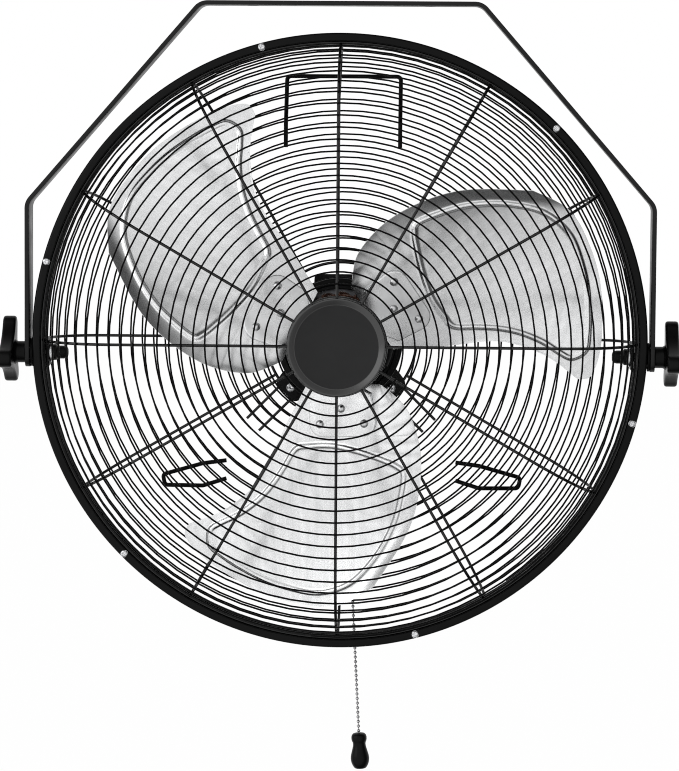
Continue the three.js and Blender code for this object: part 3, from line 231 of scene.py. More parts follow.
BLACK_PAINT = coated_paint("black_powder_coat", 0.003, 0.0045, 0.4, 420, 0.09)
YOKE_PAINT = coated_paint("yoke_powder_coat", 0.003, 0.005, 0.38, 380, 0.2)
WIRE_PAINT = coated_paint("dipped_wire_paint", 0.0015, 0.003, 0.3, 700, 0.06)
SPOKE_PAINT = coated_paint("spoke_wire_paint", 0.0015, 0.003, 0.15, 700, 0.32)
CAP_PAINT = coated_paint("cap_satin_paint", 0.0155, 0.019, 0.5, 900, 0.18)
CAP_RING = coated_paint("cap_ring_paint", 0.0035, 0.005, 0.22, 900, 0.7)
# The dish edge's light grey base colour is a painted highlight on the black dish.
DISH_EDGE_PAINTED_HIGHLIGHT = coated_paint("dish_edge_painted_highlight", 0.16, 0.24, 0.3, 900, 0.5)
PLASTIC = moulded("black_plastic", 0.0025, 0.004, 0.36)
KNOB_PLASTIC = moulded("knob_plastic", 0.002, 0.0035, 0.3, 900)
NYLON = moulded("black_nylon", 0.005, 0.008, 0.55)
ALUMINIUM = bare_metal(
    "brushed_aluminium", (0.68, 0.685, 0.69), (0.8, 0.805, 0.81), 0.2, 0.015, (0.25, 1, 2.5), "grain"
)
SPIDER_ALUMINIUM = bare_metal("pressed_aluminium", (0.66, 0.665, 0.67), (0.8, 0.805, 0.81), 0.27)
ZINC = bare_metal("zinc_plate", (0.52, 0.525, 0.535), (0.68, 0.685, 0.695), 0.24, 0.05)
RIVET_METAL = bare_metal("rivet_metal", (0.5, 0.505, 0.51), (0.62, 0.625, 0.63), 0.28, 0.04)
NICKEL = bare_metal("nickel_beads", (0.3, 0.3, 0.305), (0.42, 0.42, 0.425), 0.16, 0.03)


def laminated():
    made = Material("laminated_iron", metal=0.9, rough=0.45)
    made.colour(made.noise(70, 4), (0.1, 0.1, 0.105), (0.2, 0.2, 0.21))
    made.bump(made.wave(300, "Y"), 0.6, 0.0005)
    return made.material


def enamelled_wire():
    made = Material("enamelled_copper", metal=0.85, rough=0.3)
    made.colour(made.noise(160, 4), (0.03, 0.013, 0.009), (0.12, 0.055, 0.035))
    made.bump(made.wave(240, "DIAGONAL", 2.5), 0.8, 0.0008)
    return made.material


LAMINATION = laminated()
COPPER = enamelled_wire()

# ---------------------------------------------------------------- forms


class Form:
    """Points and faces that make one piece, gathered from simpler forms."""

    def __init__(self, points=(), faces=()):
        self.points = [Vector(p) for p in points]
        self.faces = [list(f) for f in faces]

    def add(self, other):
        base = len(self.points)
        self.points += [p.copy() for p in other.points]
        self.faces += [[i + base for i in face] for face in other.faces]
        return self

    def moved(self, matrix):
        return Form([matrix @ p for p in self.points], self.faces)

    def at(self, x, y, z):
        return self.moved(Matrix.Translation((x, y, z)))


ALONG_X = Matrix.Rotation(-math.pi / 2, 4, "Z")  # turns a body round Y into one round X
DOWN_Z = Matrix.Rotation(-math.pi / 2, 4, "X")  # +Y becomes -Z


def polar(radius, angle, y=0.0):
    return Vector((radius * math.cos(angle), y, radius * math.sin(angle)))


def round_y(angle):
    """The turn round the fan's axis, from +X towards +Z."""
    return Matrix.Rotation(-angle, 4, "Y")


def lathe(profile, segments, closed=False):
    """A body turned round Y from (radius, y) pairs. A radius of 0 is a point on the axis."""
    form = Form()
    rings = []
    for radius, y in profile:
        if radius == 0:
            rings.append([len(form.points)])
            form.points.append(Vector((0, y, 0)))
        else:
            rings.append(list(range(len(form.points), len(form.points) + segments)))
            form.points += [polar(radius, 2 * math.pi * i / segments, y) for i in range(segments)]
    pairs = list(zip(rings, rings[1:] + ([rings[0]] if closed else [])))
    for a, b in pairs:
        for i in range(segments):
            j = (i + 1) % segments
            if len(a) == 1:
                form.faces.append([a[0], b[j], b[i]])
            elif len(b) == 1:
                form.faces.append([a[i], a[j], b[0]])
            else:
                form.faces.append([a[i], a[j], b[j], b[i]])
    return form


def curved(start, control, end, t):
    """The point of a curve from start to end that leans to control, t from 0 to 1."""
    return start * (1 - t) ** 2 + control * 2 * t * (1 - t) + end * t * t


def rounded(profile, radius, steps=3, closed=False):
    """A profile whose corners are rounded, as far as their sides have room."""
    points = [Vector(p) for p in profile]
    made = []
    count = len(points)
    for i, point in enumerate(points):
        if not closed and i in (0, count - 1):
            made.append(tuple(point))
            continue
        before, after = points[i - 1] - point, points[(i + 1) % count] - point
        reach = min(radius, before.length * 0.45, after.length * 0.45)
        start, end = point + before.normalized() * reach, point + after.normalized() * reach
        made += [tuple(curved(start, point, end, step / steps)) for step in range(steps + 1)]
    return made


def collar(inner, outer, low, high, ease, segments=48, steps=2):
    """A plain ring turned round Y, with its edges rounded."""
    profile = [(inner, low), (outer, low), (outer, high), (inner, high)]
    return lathe(rounded(profile, ease, steps, closed=True), segments, closed=True)


def tube(path, radius, sides=8, closed=False):
    """A round wire along a path."""
    path = [Vector(p) for p in path]
    count = len(path)
    turns = [2 * math.pi * (k + 0.5) / sides for k in range(sides)]
    section = [(radius * math.cos(t), radius * math.sin(t)) for t in turns]
    form = Form()
    across = None
    for i, point in enumerate(path):
        before = path[i - 1] if closed or i else path[0]
        after = path[(i + 1) % count] if closed or i < count - 1 else path[-1]
        ahead = (after - before).normalized()
        if across is None:
            across = Vector((0, 1, 0)) if abs(ahead.y) < 0.9 else Vector((1, 0, 0))
        across = (across - ahead * across.dot(ahead)).normalized()
        up = ahead.cross(across)
        form.points += [point + across * a + up * b for a, b in section]
    for i in range(count if closed else count - 1):
        for k in range(sides):
            a, b = i * sides + k, i * sides + (k + 1) % sides
            c, d = ((i + 1) % count) * sides + k, ((i + 1) % count) * sides + (k + 1) % sides
            form.faces.append([a, b, d, c])
    if not closed:
        form.faces.append(list(range(sides))[::-1])
        form.faces.append([(count - 1) * sides + k for k in range(sides)])
    return form


def rounded_path(corners, radius, steps=6):
    """Straight runs joined by arcs of one radius."""
    corners = [Vector(c) for c in corners]
    path = [corners[0]]
    for i in range(1, len(corners) - 1):
        back = (corners[i - 1] - corners[i]).normalized()
        ahead = (corners[i + 1] - corners[i]).normalized()
        half = back.angle(ahead) / 2
        reach = radius / math.tan(half)
        centre = corners[i] + (back + ahead).normalized() * (radius / math.sin(half))
        start, end = corners[i] + back * reach - centre, corners[i] + ahead * reach - centre
        sweep = start.angle(end)
        for step in range(steps + 1):
            t = step / steps
            a = math.sin((1 - t) * sweep) / math.sin(sweep)
            b = math.sin(t * sweep) / math.sin(sweep)
            path.append(centre + start * a + end * b)
    return path + [corners[-1]]


def from_bmesh(bm):
    bm.verts.index_update()
    form = Form([v.co.copy() for v in bm.verts], [[v.index for v in f.verts] for f in bm.faces])
    bm.free()
    return form


def plate(outline, y0, y1, edge=0.4, steps=2):
    """A plate in X and Z between two levels of Y, with its edges eased."""
    bm = bmesh.new()
    base = [bm.verts.new((x, y0, z)) for x, z in outline]
    bottom = bm.faces.new(base)
    made = bmesh.ops.extrude_face_region(bm, geom=[bottom])
    for v in (g for g in made["geom"] if isinstance(g, bmesh.types.BMVert)):
        v.co.y = y1
    bmesh.ops.recalc_face_normals(bm, faces=bm.faces)
    if edge:
        flat = [e for e in bm.edges if abs(e.verts[0].co.y - e.verts[1].co.y) < 1e-6]
        bmesh.ops.bevel(bm, geom=flat, offset=edge, segments=steps, profile=0.6, affect="EDGES")
    return from_bmesh(bm)


def screw_head(radius, height, sides=48):
    """A pan head that faces -Y from y = 0, with a cross recess."""
    rings = [0, 0.1, 0.2, 0.3, 0.4, 0.5, 0.6, 0.7, 0.82, 0.93, 1]
    form = lathe([(radius * r, 0) for r in rings], sides)
    arm, reach = 0.17 * radius, 0.62 * radius
    for p in form.points:
        r = math.hypot(p.x, p.z)
        dome = height * math.sqrt(max(1 - (r / radius) ** 2.6, 0)) * 0.92 + height * 0.08
        inside = min(abs(p.x), abs(p.z)) < arm and r < reach
        p.y = -dome + (0.75 * height * (1 - 0.5 * r / reach) if inside else 0)
    skirt = lathe([(radius, -height * 0.08), (radius, 0.15), (0, 0.15)], sides)
    return form.add(skirt)


def make(name, form, material, body, replaces=(), origin=HEAD, sharp=32, flat=False):
    """One piece of the scene: its mesh in metres, its finish, and what it rides on."""
    mesh = bpy.data.meshes.new(name)
    points = [tuple((p + origin) * MM) for p in form.points]
    mesh.from_pydata(points, [], form.faces)
    bm = bmesh.new()
    bm.from_mesh(mesh)
    bmesh.ops.remove_doubles(bm, verts=bm.verts, dist=1e-7)
    bmesh.ops.recalc_face_normals(bm, faces=bm.faces)
    bm.to_mesh(mesh)
    bm.free()
    if not flat:
        mesh.polygons.foreach_set("use_smooth", [True] * len(mesh.polygons))
        mesh.set_sharp_from_angle(angle=math.radians(sharp))
    mesh.materials.append(material)
    obj = bpy.data.objects.new(name, mesh)
    scene.collection.objects.link(obj)
    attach(obj, body)
    if replaces:
        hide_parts(*replaces)
    return obj


# ---------------------------------------------------------------- chain


def make_chain():
    along = Vector((math.sin(CHAIN_LEAN), 0, -math.cos(CHAIN_LEAN)))
    start = Vector((SWITCH_X, SWITCH_Y, -64.6))
    bead = CHAIN_BEAD / 2
    count = int((CHAIN_LENGTH - 2 * bead) / CHAIN_PITCH) + 1
    pitch = (CHAIN_LENGTH - 2 * bead) / (count - 1)
    belt = [math.pi * k / 8 for k in range(1, 8)]
    round_part = [(bead * math.sin(turn), bead * math.cos(turn)) for turn in belt]
    ball = lathe([(0, bead), *round_part, (0, -bead)], 14)
    hang = Vector((0, 1, 0)).rotation_difference(along).to_matrix().to_4x4()
    form = Form()
    for i in range(count):
        middle = start + along * (bead + pitch * i)
        form.add(ball.moved(Matrix.Translation(middle) @ hang))
    form.add(tube([start + along * bead, start + along * (CHAIN_LENGTH - bead)], 0.55, 8))
    chain = make("bead_chain", form, NICKEL, "chain", ["pull_chain"])

    # The pull's outline, from its top down: a head, a waist and a belly with a hollow end.
    outline = [(0, 0), (3.2, 0.1), (5.4, 0.7), (6.7, 2), (7.25, 4), (7.25, 6), (6.9, 7.6), (6.2, 9)]
    outline += [(5.95, 10.4), (6.05, 12.2), (6.7, 15), (7.6, 18.2), (8.4, 21.2), (8.75, 24)]
    outline += [(8.6, 26.6), (8.1, 28.8), (7.2, 31), (6.1, 32.8), (5.2, 33.7), (4.4, 34)]
    outline += [(3.6, 33.6), (3.2, 32), (0, 31.8)]
    top = start + along * (CHAIN_LENGTH + SEAT)
    pull = lathe(outline, 40).moved(Matrix.Translation(top) @ hang)
    knob = make("pull_handle", pull, KNOB_PLASTIC, "chain", ["pull_knob"])


make_chain()

# ---------------------------------------------------------------- guards


class Guard:
    """The surface that a guard's spiral lies on: a flat face, then a bend towards the rim."""

    def __init__(self, outward, depth):
        self.outward = outward
        self.corner = depth / (1 - math.cos(CORNER_TURN))
        entry = RIM_MOUTH - SPOKE_SIDE
        self.flat = entry - self.corner * math.sin(CORNER_TURN)
        self.face = outward * (RIM_DEPTH / 2 + depth)
        self.whole = self.flat + self.corner * CORNER_TURN

    def point(self, length, angle, raised=0.0):
        bend = min(max((length - self.flat) / self.corner, 0), CORNER_TURN)
        rest = max(length - self.whole, 0)
        radius = min(length, self.flat) + self.corner * math.sin(bend)
        radius += raised * math.sin(bend) + rest * math.cos(bend)
        fall = self.corner * (1 - math.cos(bend)) + rest * math.sin(bend)
        y = self.face + self.outward * (raised * math.cos(bend) - fall)
        return polar(radius, angle, y)

    def spiral(self, inner, start, steps=72):
        end = self.whole - SPIRAL_WIRE
        count = int((end - inner) * steps / SPIRAL_PITCH)
        path = []
        for i in range(count + 1):
            angle = start - 2 * math.pi * i / steps
            path.append(self.point(inner + SPIRAL_PITCH * i / steps, angle))
        return tube(path, SPIRAL_WIRE / 2, 8)

    def spokes(self, hub):
        form = ring_wire(hub, self.face + self.outward * SPOKE_LEVEL, SPOKE_WIRE / 2)
        form.add(ring_wire(RING_RADIUS, self.outward * RING_LEVEL, RING_WIRE / 2))
        for i in range(SPOKES):
            angle = 2 * math.pi * i / SPOKES
            # The rear guard's top spoke stands aside of the middle, and its bend brings it back.
            aside = TOP_SPOKE_ASIDE if self.outward > 0 and 4 * i == SPOKES else 0
            path = [self.point(hub, angle, SPOKE_LEVEL) - Vector((aside, 0, 0))]
            for k in range(15):
                length = self.flat + (self.whole - self.flat) * k / 14
                shift = Vector((aside * (1 - k / 14), 0, 0))
                path.append(self.point(length, angle, SPOKE_LEVEL) - shift)
            path.append(polar(RING_RADIUS, angle, self.outward * RING_LEVEL))
            form.add(tube(path, SPOKE_WIRE / 2, 12))
        return form


def ring_wire(radius, y, wire, steps=144, sides=10):
    path = [polar(radius, 2 * math.pi * i / steps, y) for i in range(steps)]
    return tube(path, wire, sides, closed=True)


FRONT = Guard(-1, FRONT_DEPTH)
REAR = Guard(1, REAR_DEPTH)


def ear_wires():
    """The wires under the ears of the motor's plate: one short one at the top, two at the others."""
    form = Form()
    level = REAR.face + SPOKE_LEVEL
    for ear in EARS:
        top = ear == TOP_EAR
        for side in (TOP_SPOKE_ASIDE,) if top else (-8, 8):
            end = REAR_HUB if top else 116
            wire = tube([(56, level, side), (end, level, side)], SPOKE_WIRE / 2, 12)
            form.add(wire.moved(round_y(math.radians(ear))))
    return form


def make_guards():
    front = FRONT.spiral(FRONT_SPIRAL_START, math.radians(270))
    rear = REAR.spiral(REAR_SPIRAL_START, math.radians(90))
    rear_spokes = REAR.spokes(REAR_HUB).add(ear_wires())
    pieces = [
        ("front_spiral_wire", front, WIRE_PAINT, "front_guard_spiral"),
        ("front_spoke_wires", FRONT.spokes(FRONT_HUB), SPOKE_PAINT, "front_guard_spokes"),
        ("rear_spiral_wire", rear, WIRE_PAINT, "rear_guard_spiral"),
        ("rear_spoke_wires", rear_spokes, SPOKE_PAINT, "rear_guard_spokes"),
    ]
    for name, form, paint, node in pieces:
        make(name, form, paint, "head", [node], sharp=60)


make_guards()

# ---------------------------------------------------------------- cap and rim


def second_material(piece, material, beyond, before):
    """Another material for the faces past a radius and in front of a level: a glossier paint on the
    cap's ring, a painted highlight on the dish's edge.
    """
    piece.data.materials.append(material)
    for face in piece.data.polygons:
        middle = Vector(face.center) / MM - HEAD
        if math.hypot(middle.x, middle.z) > beyond and middle.y < before:
            face.material_index = 1


def make_cap():
    back = FRONT_FACE + SPIRAL_INNER
    front = back - CAP_RISE
    # A flat face that lies back inside a ring, whose slope faces the middle.
    profile = [(0, 2.8), (36.6, 2.8), (37.5, 2.65), (38.4, 2.2), (42, 0.25), (42.6, 0)]
    profile += [(43.3, 0.1), (43.8, 0.6), (44, 1.4), (44, CAP_RISE), (42.8, CAP_RISE)]
    profile += [(42.8, 4.4), (0, 4.4)]
    form = lathe([(radius, front + y) for radius, y in profile], 160)
    cover = make("cap_cover", form, CAP_PAINT, "head", ["centre_cap"], sharp=50)
    second_material(cover, CAP_RING, 37.4, front + 2.9)
    rear = back + SEAT + SPOKE_SIDE + SEAT
    dish = [(0, rear), (43, rear), (44.6, rear + 0.2), (45, rear + 0.9), (44.4, rear + 1.5)]
    dish += [(42, rear + 1.7), (39, rear + 3), (36, rear + 3.6), (0, rear + 3.6)]
    form = lathe(dish, 96)
    nut = [(0, rear + 6.6), (6, rear + 6.6), (6.5, rear + 3.4), (0, rear + 3.4)]
    form.add(lathe(rounded(nut, 1), 24))
    dish = make("cap_dish", form, BLACK_PAINT, "head", ["cap_backing_plate"])
    # The part of its rim that stands out round the cap gets a painted highlight: a light grey base
    # colour where light would catch it.
    second_material(dish, DISH_EDGE_PAINTED_HIGHLIGHT, 44, rear + 1)


def make_rim():
    half, inner = RIM_DEPTH / 2, RIM_RADIUS - RIM_SHEET
    # The flanges are rolled: each one slopes back a little from its lip to the band.
    flange = [
        (RIM_RADIUS, -half + 1.6),
        (RIM_RADIUS - 1.2, -half + 0.2),
        (RIM_MOUTH + 1, -half - 0.7),
        (RIM_MOUTH, -half - 0.2),
        (RIM_MOUTH, -half + RIM_SHEET),
        (inner, -half + RIM_SHEET + 1.4),
    ]
    profile = flange + [(radius, -y) for radius, y in reversed(flange)]
    form = lathe(rounded(profile, 1.2, 4, closed=True), 288, closed=True)
    # The band's ends meet beside the left pivot: a groove crosses it there.
    for p in form.points:
        angle = math.degrees(math.atan2(p.z, -p.x))
        gap = abs(angle - RIM_SEAM) * math.radians(RIM_RADIUS)
        if gap < RIM_SEAM_HALF:
            p.x, p.y, p.z = p.x * RIM_SEAM_IN, p.y * RIM_SEAM_NARROW, p.z * RIM_SEAM_IN
    make("rim_shell", form, BLACK_PAINT, "head", ["rim_band"], sharp=40)
    screws = Form()
    random.seed(4)
    head = screw_head(RIM_SCREW_HEAD, 2.0)
    names = []
    for i in range(RIM_SCREWS):
        angle = math.radians(RIM_SCREW_START + 360 / RIM_SCREWS * i)
        turn = Matrix.Rotation(random.uniform(0, math.pi), 4, "Y")
        spot = polar(RIM_SCREW_CIRCLE, angle, -half - 0.2)
        screws.add(head.moved(Matrix.Translation(spot) @ turn))
        names.append(f"rim_screw_{i + 1}")
    make("rim_screw_heads", screws, ZINC, "head", names, sharp=40)


make_cap()
make_rim()

# ---------------------------------------------------------------- yoke, pivots and knobs


def make_yoke():
    x = (ARM_INNER + ARM_OUTER) / 2
    low = PIVOT_Z - YOKE_TAIL
    corners = [(-x, 0, low), (-x, 0, YOKE_SHOULDER), (-YOKE_TOP_HALF, 0, YOKE_TOP)]
    corners += [(-a, 0, c) for a, b, c in reversed(corners)]
    path = rounded_path(corners, YOKE_BEND, 10)
    # The strap's ends are rounded, so its width grows over the first and last of its path.
    corner, thick, ease, cut = YOKE_END_CORNER, YOKE_SHEET / 2, 0.7, 0.2
    steps = [corner * (1 - math.cos(math.pi / 2 * k / 8)) for k in range(9)]
    ends = [Vector((-x, 0, low + s)) for s in steps]
    path = ends + path[1:-1] + [Vector((x, 0, p.z)) for p in reversed(ends)]
    form = Form()
    for i, point in enumerate(path):
        ahead = (path[min(i + 1, len(path) - 1)] - path[max(i - 1, 0)]).normalized()
        out = Vector((-ahead.z, 0, ahead.x))
        if 0 < i < len(path) - 1:
            a, b = (point - path[i - 1]).normalized(), (path[i + 1] - point).normalized()
            out *= 1 / max(math.cos(a.angle(b) / 2), 0.5)
        near = min((point - path[0]).length, (path[-1] - point).length)
        wide = YOKE_HALF
        if near < corner:
            wide += math.sqrt(max(corner**2 - (corner - near) ** 2, 0)) - corner
        section = []
        for a, b in ((wide, -thick), (wide, thick), (-wide, thick), (-wide, -thick)):
            inset = [(ease, 0), (cut, cut), (0, ease)]
            if a * b > 0:
                inset.reverse()
            section += [(a - math.copysign(c, a), b - math.copysign(d, b)) for c, d in inset]
        form.points += [point + Vector((0, a, 0)) + out * b for a, b in section]
    n = len(section)
    for i in range(len(path) - 1):
        for k in range(n):
            a, b = i * n + k, i * n + (k + 1) % n
            form.faces.append([a, b, b + n, a + n])
    form.faces.append(list(range(n)))
    form.faces.append([(len(path) - 1) * n + k for k in range(n)])
    yoke = make("strap_yoke", form, YOKE_PAINT, "yoke", ["yoke_bracket"], sharp=35)
    cutters = Form()
    for side in (-YOKE_HOLE_SIDE, YOKE_HOLE_SIDE):
        ends = [(side, 0, YOKE_TOP + above) for above in (-6.5, 5.5)]
        cutters.add(tube(ends, YOKE_HOLE, 40))
    mesh = bpy.data.meshes.new("hole_cutters")
    mesh.from_pydata([tuple((p + HEAD) * MM) for p in cutters.points], [], cutters.faces)
    cutter = bpy.data.objects.new("hole_cutters", mesh)
    scene.collection.objects.link(cutter)
    hole = yoke.modifiers.new("holes", "BOOLEAN")
    hole.operation, hole.solver, hole.object = "DIFFERENCE", "EXACT", cutter
    bpy.context.view_layer.update()
    evaluated = yoke.evaluated_get(bpy.context.evaluated_depsgraph_get())
    drilled = bpy.data.meshes.new_from_object(evaluated)
    yoke.modifiers.clear()
    yoke.data = drilled
    bpy.data.objects.remove(cutter)


def knob_outline():
    """Three round lobes with hollows between them."""
    lobe, centre, waist = KNOB_LOBE, KNOB_RADIUS - KNOB_LOBE, KNOB_RADIUS * 0.42
    points = []

    def away(radius, angle):
        return Vector((radius * math.cos(angle), radius * math.sin(angle)))

    for k in range(3):
        angle = math.pi / 2 - KNOB_REST + k * 2 * math.pi / 3
        middle = away(centre, angle)
        points += [middle + away(lobe, angle + math.pi * (step / 12 - 0.5)) for step in range(13)]
        start = points[-1].copy()
        control = away(waist, angle + math.pi / 3)
        following = angle + 2 * math.pi / 3
        end = away(centre, following) + away(lobe, following - math.pi / 2)
        points += [curved(start, control, end, step / 12) for step in range(1, 12)]
    return [(p.x, p.y) for p in points]


def knob_form():
    """A lobed knob along +Y from its neck's end."""
    lobes = plate(knob_outline(), 10, 22, edge=3.0, steps=5)
    neck = [(0, 0), (9.2, 0), (9.8, 0.6), (9.8, 7.2), (10.4, 8.6), (12, 10.2), (12, 12), (0, 12)]
    form = lobes.add(lathe(neck, 48))
    face = [(0, 22.9), (6.2, 22.9), (7.2, 22.6), (7.6, 21.8), (0, 21.8)]
    return form.add(lathe(face, 40))


def make_pivots():
    for name, side in (("left", -1), ("right", 1)):
        flip = Matrix.Diagonal((side, 1, 1, 1)) @ Matrix.Translation((0, 0, PIVOT_Z))
        h, w = 14, 9.2
        # The channel's web, with its two feet turned to the band.
        foot, face, sheet, ease = BRACKET_OUTER, BRACKET_INNER, 2.5, 1.5
        upper = [(face, h - 3), (face + sheet, h), (foot, h), (foot, h - sheet)]
        upper += [(face + sheet + ease, h - sheet), (face + sheet, h - sheet - ease)]
        web = upper + [(x, -z) for x, z in reversed(upper)]
        form = plate(web, -w, w, 0.5).moved(flip)
        make(f"{name}_channel", form, BLACK_PAINT, "head", [f"{name}_pivot_bracket"])
        seat = BRACKET_INNER - 2.6
        bolt = [(0, -14), (3.2, -13.9), (4.6, -13.2), (5.6, -11.6), (6, -9.6), (6, -4.4)]
        bolt += [(6.5, -3.7), (7.4, -3), (7.4, -0.3), (7.1, 0), (4, 0)]
        bolt = [(radius, seat + x) for radius, x in bolt]
        bolt += [(4, KNOB_SEAT + 12), (0, KNOB_SEAT + 12)]
        form = lathe(bolt, 40).moved(flip @ ALONG_X)
        make(f"{name}_bolt", form, PLASTIC, "head", [f"{name}_pivot_bolt"])
        form = collar(4.4, 9, seat + SEAT, seat + 2.3, 0.4).moved(flip @ ALONG_X)
        make(f"{name}_washer", form, ZINC, "head", [f"{name}_bolt_washer"])
        form = collar(4.4, 13, RIM_RADIUS + SEAT, ARM_INNER - SEAT, 0.5).moved(flip @ ALONG_X)
        node = f"{name}_friction_washer"
        make(f"{name}_friction_disc", form, NYLON, "yoke", [node])
        # Lobe up: the outline's second axis stays upright when the knob lies along X.
        form = knob_form().moved(flip @ Matrix.Translation((KNOB_SEAT, 0, 0)) @ KNOB_LIES)
        knob = f"{name}_knob"
        make(f"{name}_clamp_knob", form, KNOB_PLASTIC, knob, [knob])


# The knob's own (x, y, z) become (y, x, z): its axis lies along X and its first lobe points up.
KNOB_LIES = Matrix(((0, 1, 0, 0), (1, 0, 0, 0), (0, 0, 1, 0), (0, 0, 0, 1)))

make_yoke()
make_pivots()

# ---------------------------------------------------------------- motor


def ear_outline():
    """The motor's plate: a disc with three ears, the top one wide and square."""
    points = []
    for i in range(720):
        angle = math.radians(i / 2)
        reach = PLATE_RADIUS
        for ear in EARS:
            # An ear is a superellipse: its half width, its reach and how square it is.
            side, far, sharp = (25.5, 59, 24) if ear == TOP_EAR else (16, 74, 7)
            off = abs((angle - math.radians(ear) + math.pi) % (2 * math.pi) - math.pi)
            if off < math.radians(80):
                corner = (abs(math.cos(off)) / far) ** sharp + (math.sin(off) / side) ** sharp
                reach = max(reach, corner ** (-1 / sharp))
        points.append((reach * math.cos(angle), reach * math.sin(angle)))
    return points


def with_windows(profile, segments, windows):
    """A turned skin without the faces inside windows of (from, to, low y, high y)."""
    form = lathe(profile, segments)
    kept = []
    for face in form.faces:
        middle = sum((form.points[i] for i in face), Vector()) / len(face)
        angle = math.degrees(math.atan2(middle.z, middle.x)) % 360
        if not any(a < angle < b and low < middle.y < high for a, b, low, high in windows):
            kept.append(face)
    form.faces = kept
    return form


def make_bell(name, facing, node):
    end = BELL_FRONT if facing < 0 else BELL_REAR
    mouth = STATOR_FRONT - 0.3 if facing < 0 else STATOR_REAR + 0.3

    def y(inset):
        return end - facing * inset

    # From the shaft's hole over the end's pressed steps to the wall, then the joining flange.
    end_face = [(6.6, 0), (13, 0), (15, 0.4), (17, 1.6), (24, 1.6), (26, 0.9), (33, 0.6), (37.5, 1)]
    end_face += [(39, 1.6), (43, 2.6), (46, 4), (48.5, 6.4), (BELL_RADIUS, 9)]
    flange = [(BELL_RADIUS, 6), (51, 5.2), (52.2, 5.8), (53.4, 5.2), (54.2, 3.8), (55.4, 3.2)]
    flange += [(57, 2.6), (BELL_LIP, 1.4), (BELL_LIP, 0)]
    profile = [(radius, y(inset)) for radius, inset in end_face]
    profile += [(radius, mouth + facing * rise) for radius, rise in flange]
    low, high = sorted((y(1.5), y(11)))
    windows = [(a - 27, a + 27, low - 0.1, high) for a in range(18, 360, 72)]
    skin = with_windows(profile, 160, windows)
    piece = make(name, skin, BLACK_PAINT, "head", [node], sharp=45)
    wall = piece.modifiers.new("wall", "SOLIDIFY")
    wall.thickness, wall.offset = 1.2 * MM, -1


def make_motor():
    plate_form = plate(ear_outline(), PLATE_FRONT, PLATE_REAR, 0.45)
    make("motor_plate", plate_form, BLACK_PAINT, "head", ["motor_mount_plate"])
    make_bell("front_bell", -1, "motor_front_bell")
    make_bell("rear_bell", 1, "motor_rear_bell")
    core = collar(STATOR_BORE, STATOR_RADIUS, STATOR_FRONT, STATOR_REAR, 0.6, 72)
    make("stator_stack", core, LAMINATION, "head", ["stator_core"])
    coils = Form()
    for middle in (STATOR_FRONT - 5.4, STATOR_REAR + 5.4):
        for k in range(COILS):
            angle = 2 * math.pi * k / COILS
            loop = []
            for step in range(14):
                turn = 2 * math.pi * step / 14
                radius = COIL_RADIUS + 4.4 * math.cos(turn)
                swing = angle + 0.2 * math.cos(turn + 0.7)
                loop.append(polar(radius, swing, middle + 3.6 * math.sin(turn)))
            coils.add(tube(loop, COIL_WIRE, 6, closed=True))
        coils.add(collar(33, 43.4, middle - 3.4, middle + 3.4, 2.4, 64, 4))
    make("winding_heads", coils, COPPER, "head", ["stator_winding"])
    for i, ear in enumerate(EARS):
        angle = math.radians(ear)
        radius = 50 if ear == TOP_EAR else 66
        form = screw_head(4.6, 3.0).at(*polar(radius, angle, PLATE_FRONT - SEAT))
        start, end = PLATE_FRONT - 0.2, PLATE_REAR + 9
        stem = lathe([(0, start), (2.5, start), (2.5, end), (0, end)], 20)
        form.add(stem.at(*polar(radius, angle)))
        finish = PLASTIC if ear == TOP_EAR else ZINC
        make(f"ear_screw_{i + 1}", form, finish, "head", [f"mount_screw_{i + 1}"])


make_motor()

# ---------------------------------------------------------------- rotor


def catmull_rom(p0, p1, p2, p3, w):
    """The point between p1 and p2 of a Catmull-Rom curve, w from 0 to 1."""
    v0, v1 = (p2 - p0) * 0.5, (p3 - p1) * 0.5
    return (p1 * 2 - p2 * 2 + v0 + v1) * w**3 + (p2 * 3 - p1 * 3 - v0 * 2 - v1) * w**2 + v0 * w + p1


def open_curve(knots, t):
    """The point of the curve through the knots, t from 0 to 1."""
    place = (len(knots) - 1) * t
    i = min(int(place), len(knots) - 2)
    ends = knots[max(i - 1, 0)], knots[min(i + 2, len(knots) - 1)]
    return catmull_rom(ends[0], knots[i], knots[i + 1], ends[1], place - i)


def closed_curve(knots, steps):
    points = []
    for i in range(len(knots)):
        around = [knots[(i + k) % len(knots)] for k in (-1, 0, 1, 2)]
        points += [catmull_rom(*around, step / steps) for step in range(steps)]
    return points


class Curve:
    """A Catmull-Rom curve that is read by its share of length."""

    def __init__(self, shares):
        knots = [Vector(s) * BLADE_RADIUS for s in shares]
        self.fine = [open_curve(knots, i / 400) for i in range(401)]
        self.lengths = [0.0]
        for a, b in zip(self.fine, self.fine[1:]):
            self.lengths.append(self.lengths[-1] + (b - a).length)

    def at(self, share):
        wanted = share * self.lengths[-1]
        i = min(int(np.searchsorted(self.lengths, wanted, side="right")) - 1, 399)
        step = self.lengths[i + 1] - self.lengths[i]
        return self.fine[i].lerp(self.fine[i + 1], min((wanted - self.lengths[i]) / step, 1))


# The blade's outline in its plan, in shares of BLADE_RADIUS.
TRAILING = Curve([(0.156, 0.148), (0.255, 0.247), (0.44, 0.285), (0.679, 0.232), (0.914, 0.082)])
LEADING = Curve(
    [(0.156, -0.132), (0.329, -0.233), (0.506, -0.327), (0.617, -0.461), (0.671, -0.601)]
)
TIP = Curve(
    [(0.671, -0.601), (0.724, -0.619), (0.823, -0.535), (0.934, -0.362), (0.984, -0.202)]
    + [(0.988, -0.058), (0.914, 0.082)]
)


def blade_plan(out, over):
    low, high, tip = LEADING.at(out), TRAILING.at(out), TIP.at(over)
    root = LEADING.at(0).lerp(TRAILING.at(0), over)
    far = LEADING.at(1).lerp(TRAILING.at(1), over)
    return low.lerp(high, over) + root.lerp(tip, out) - root.lerp(far, out)


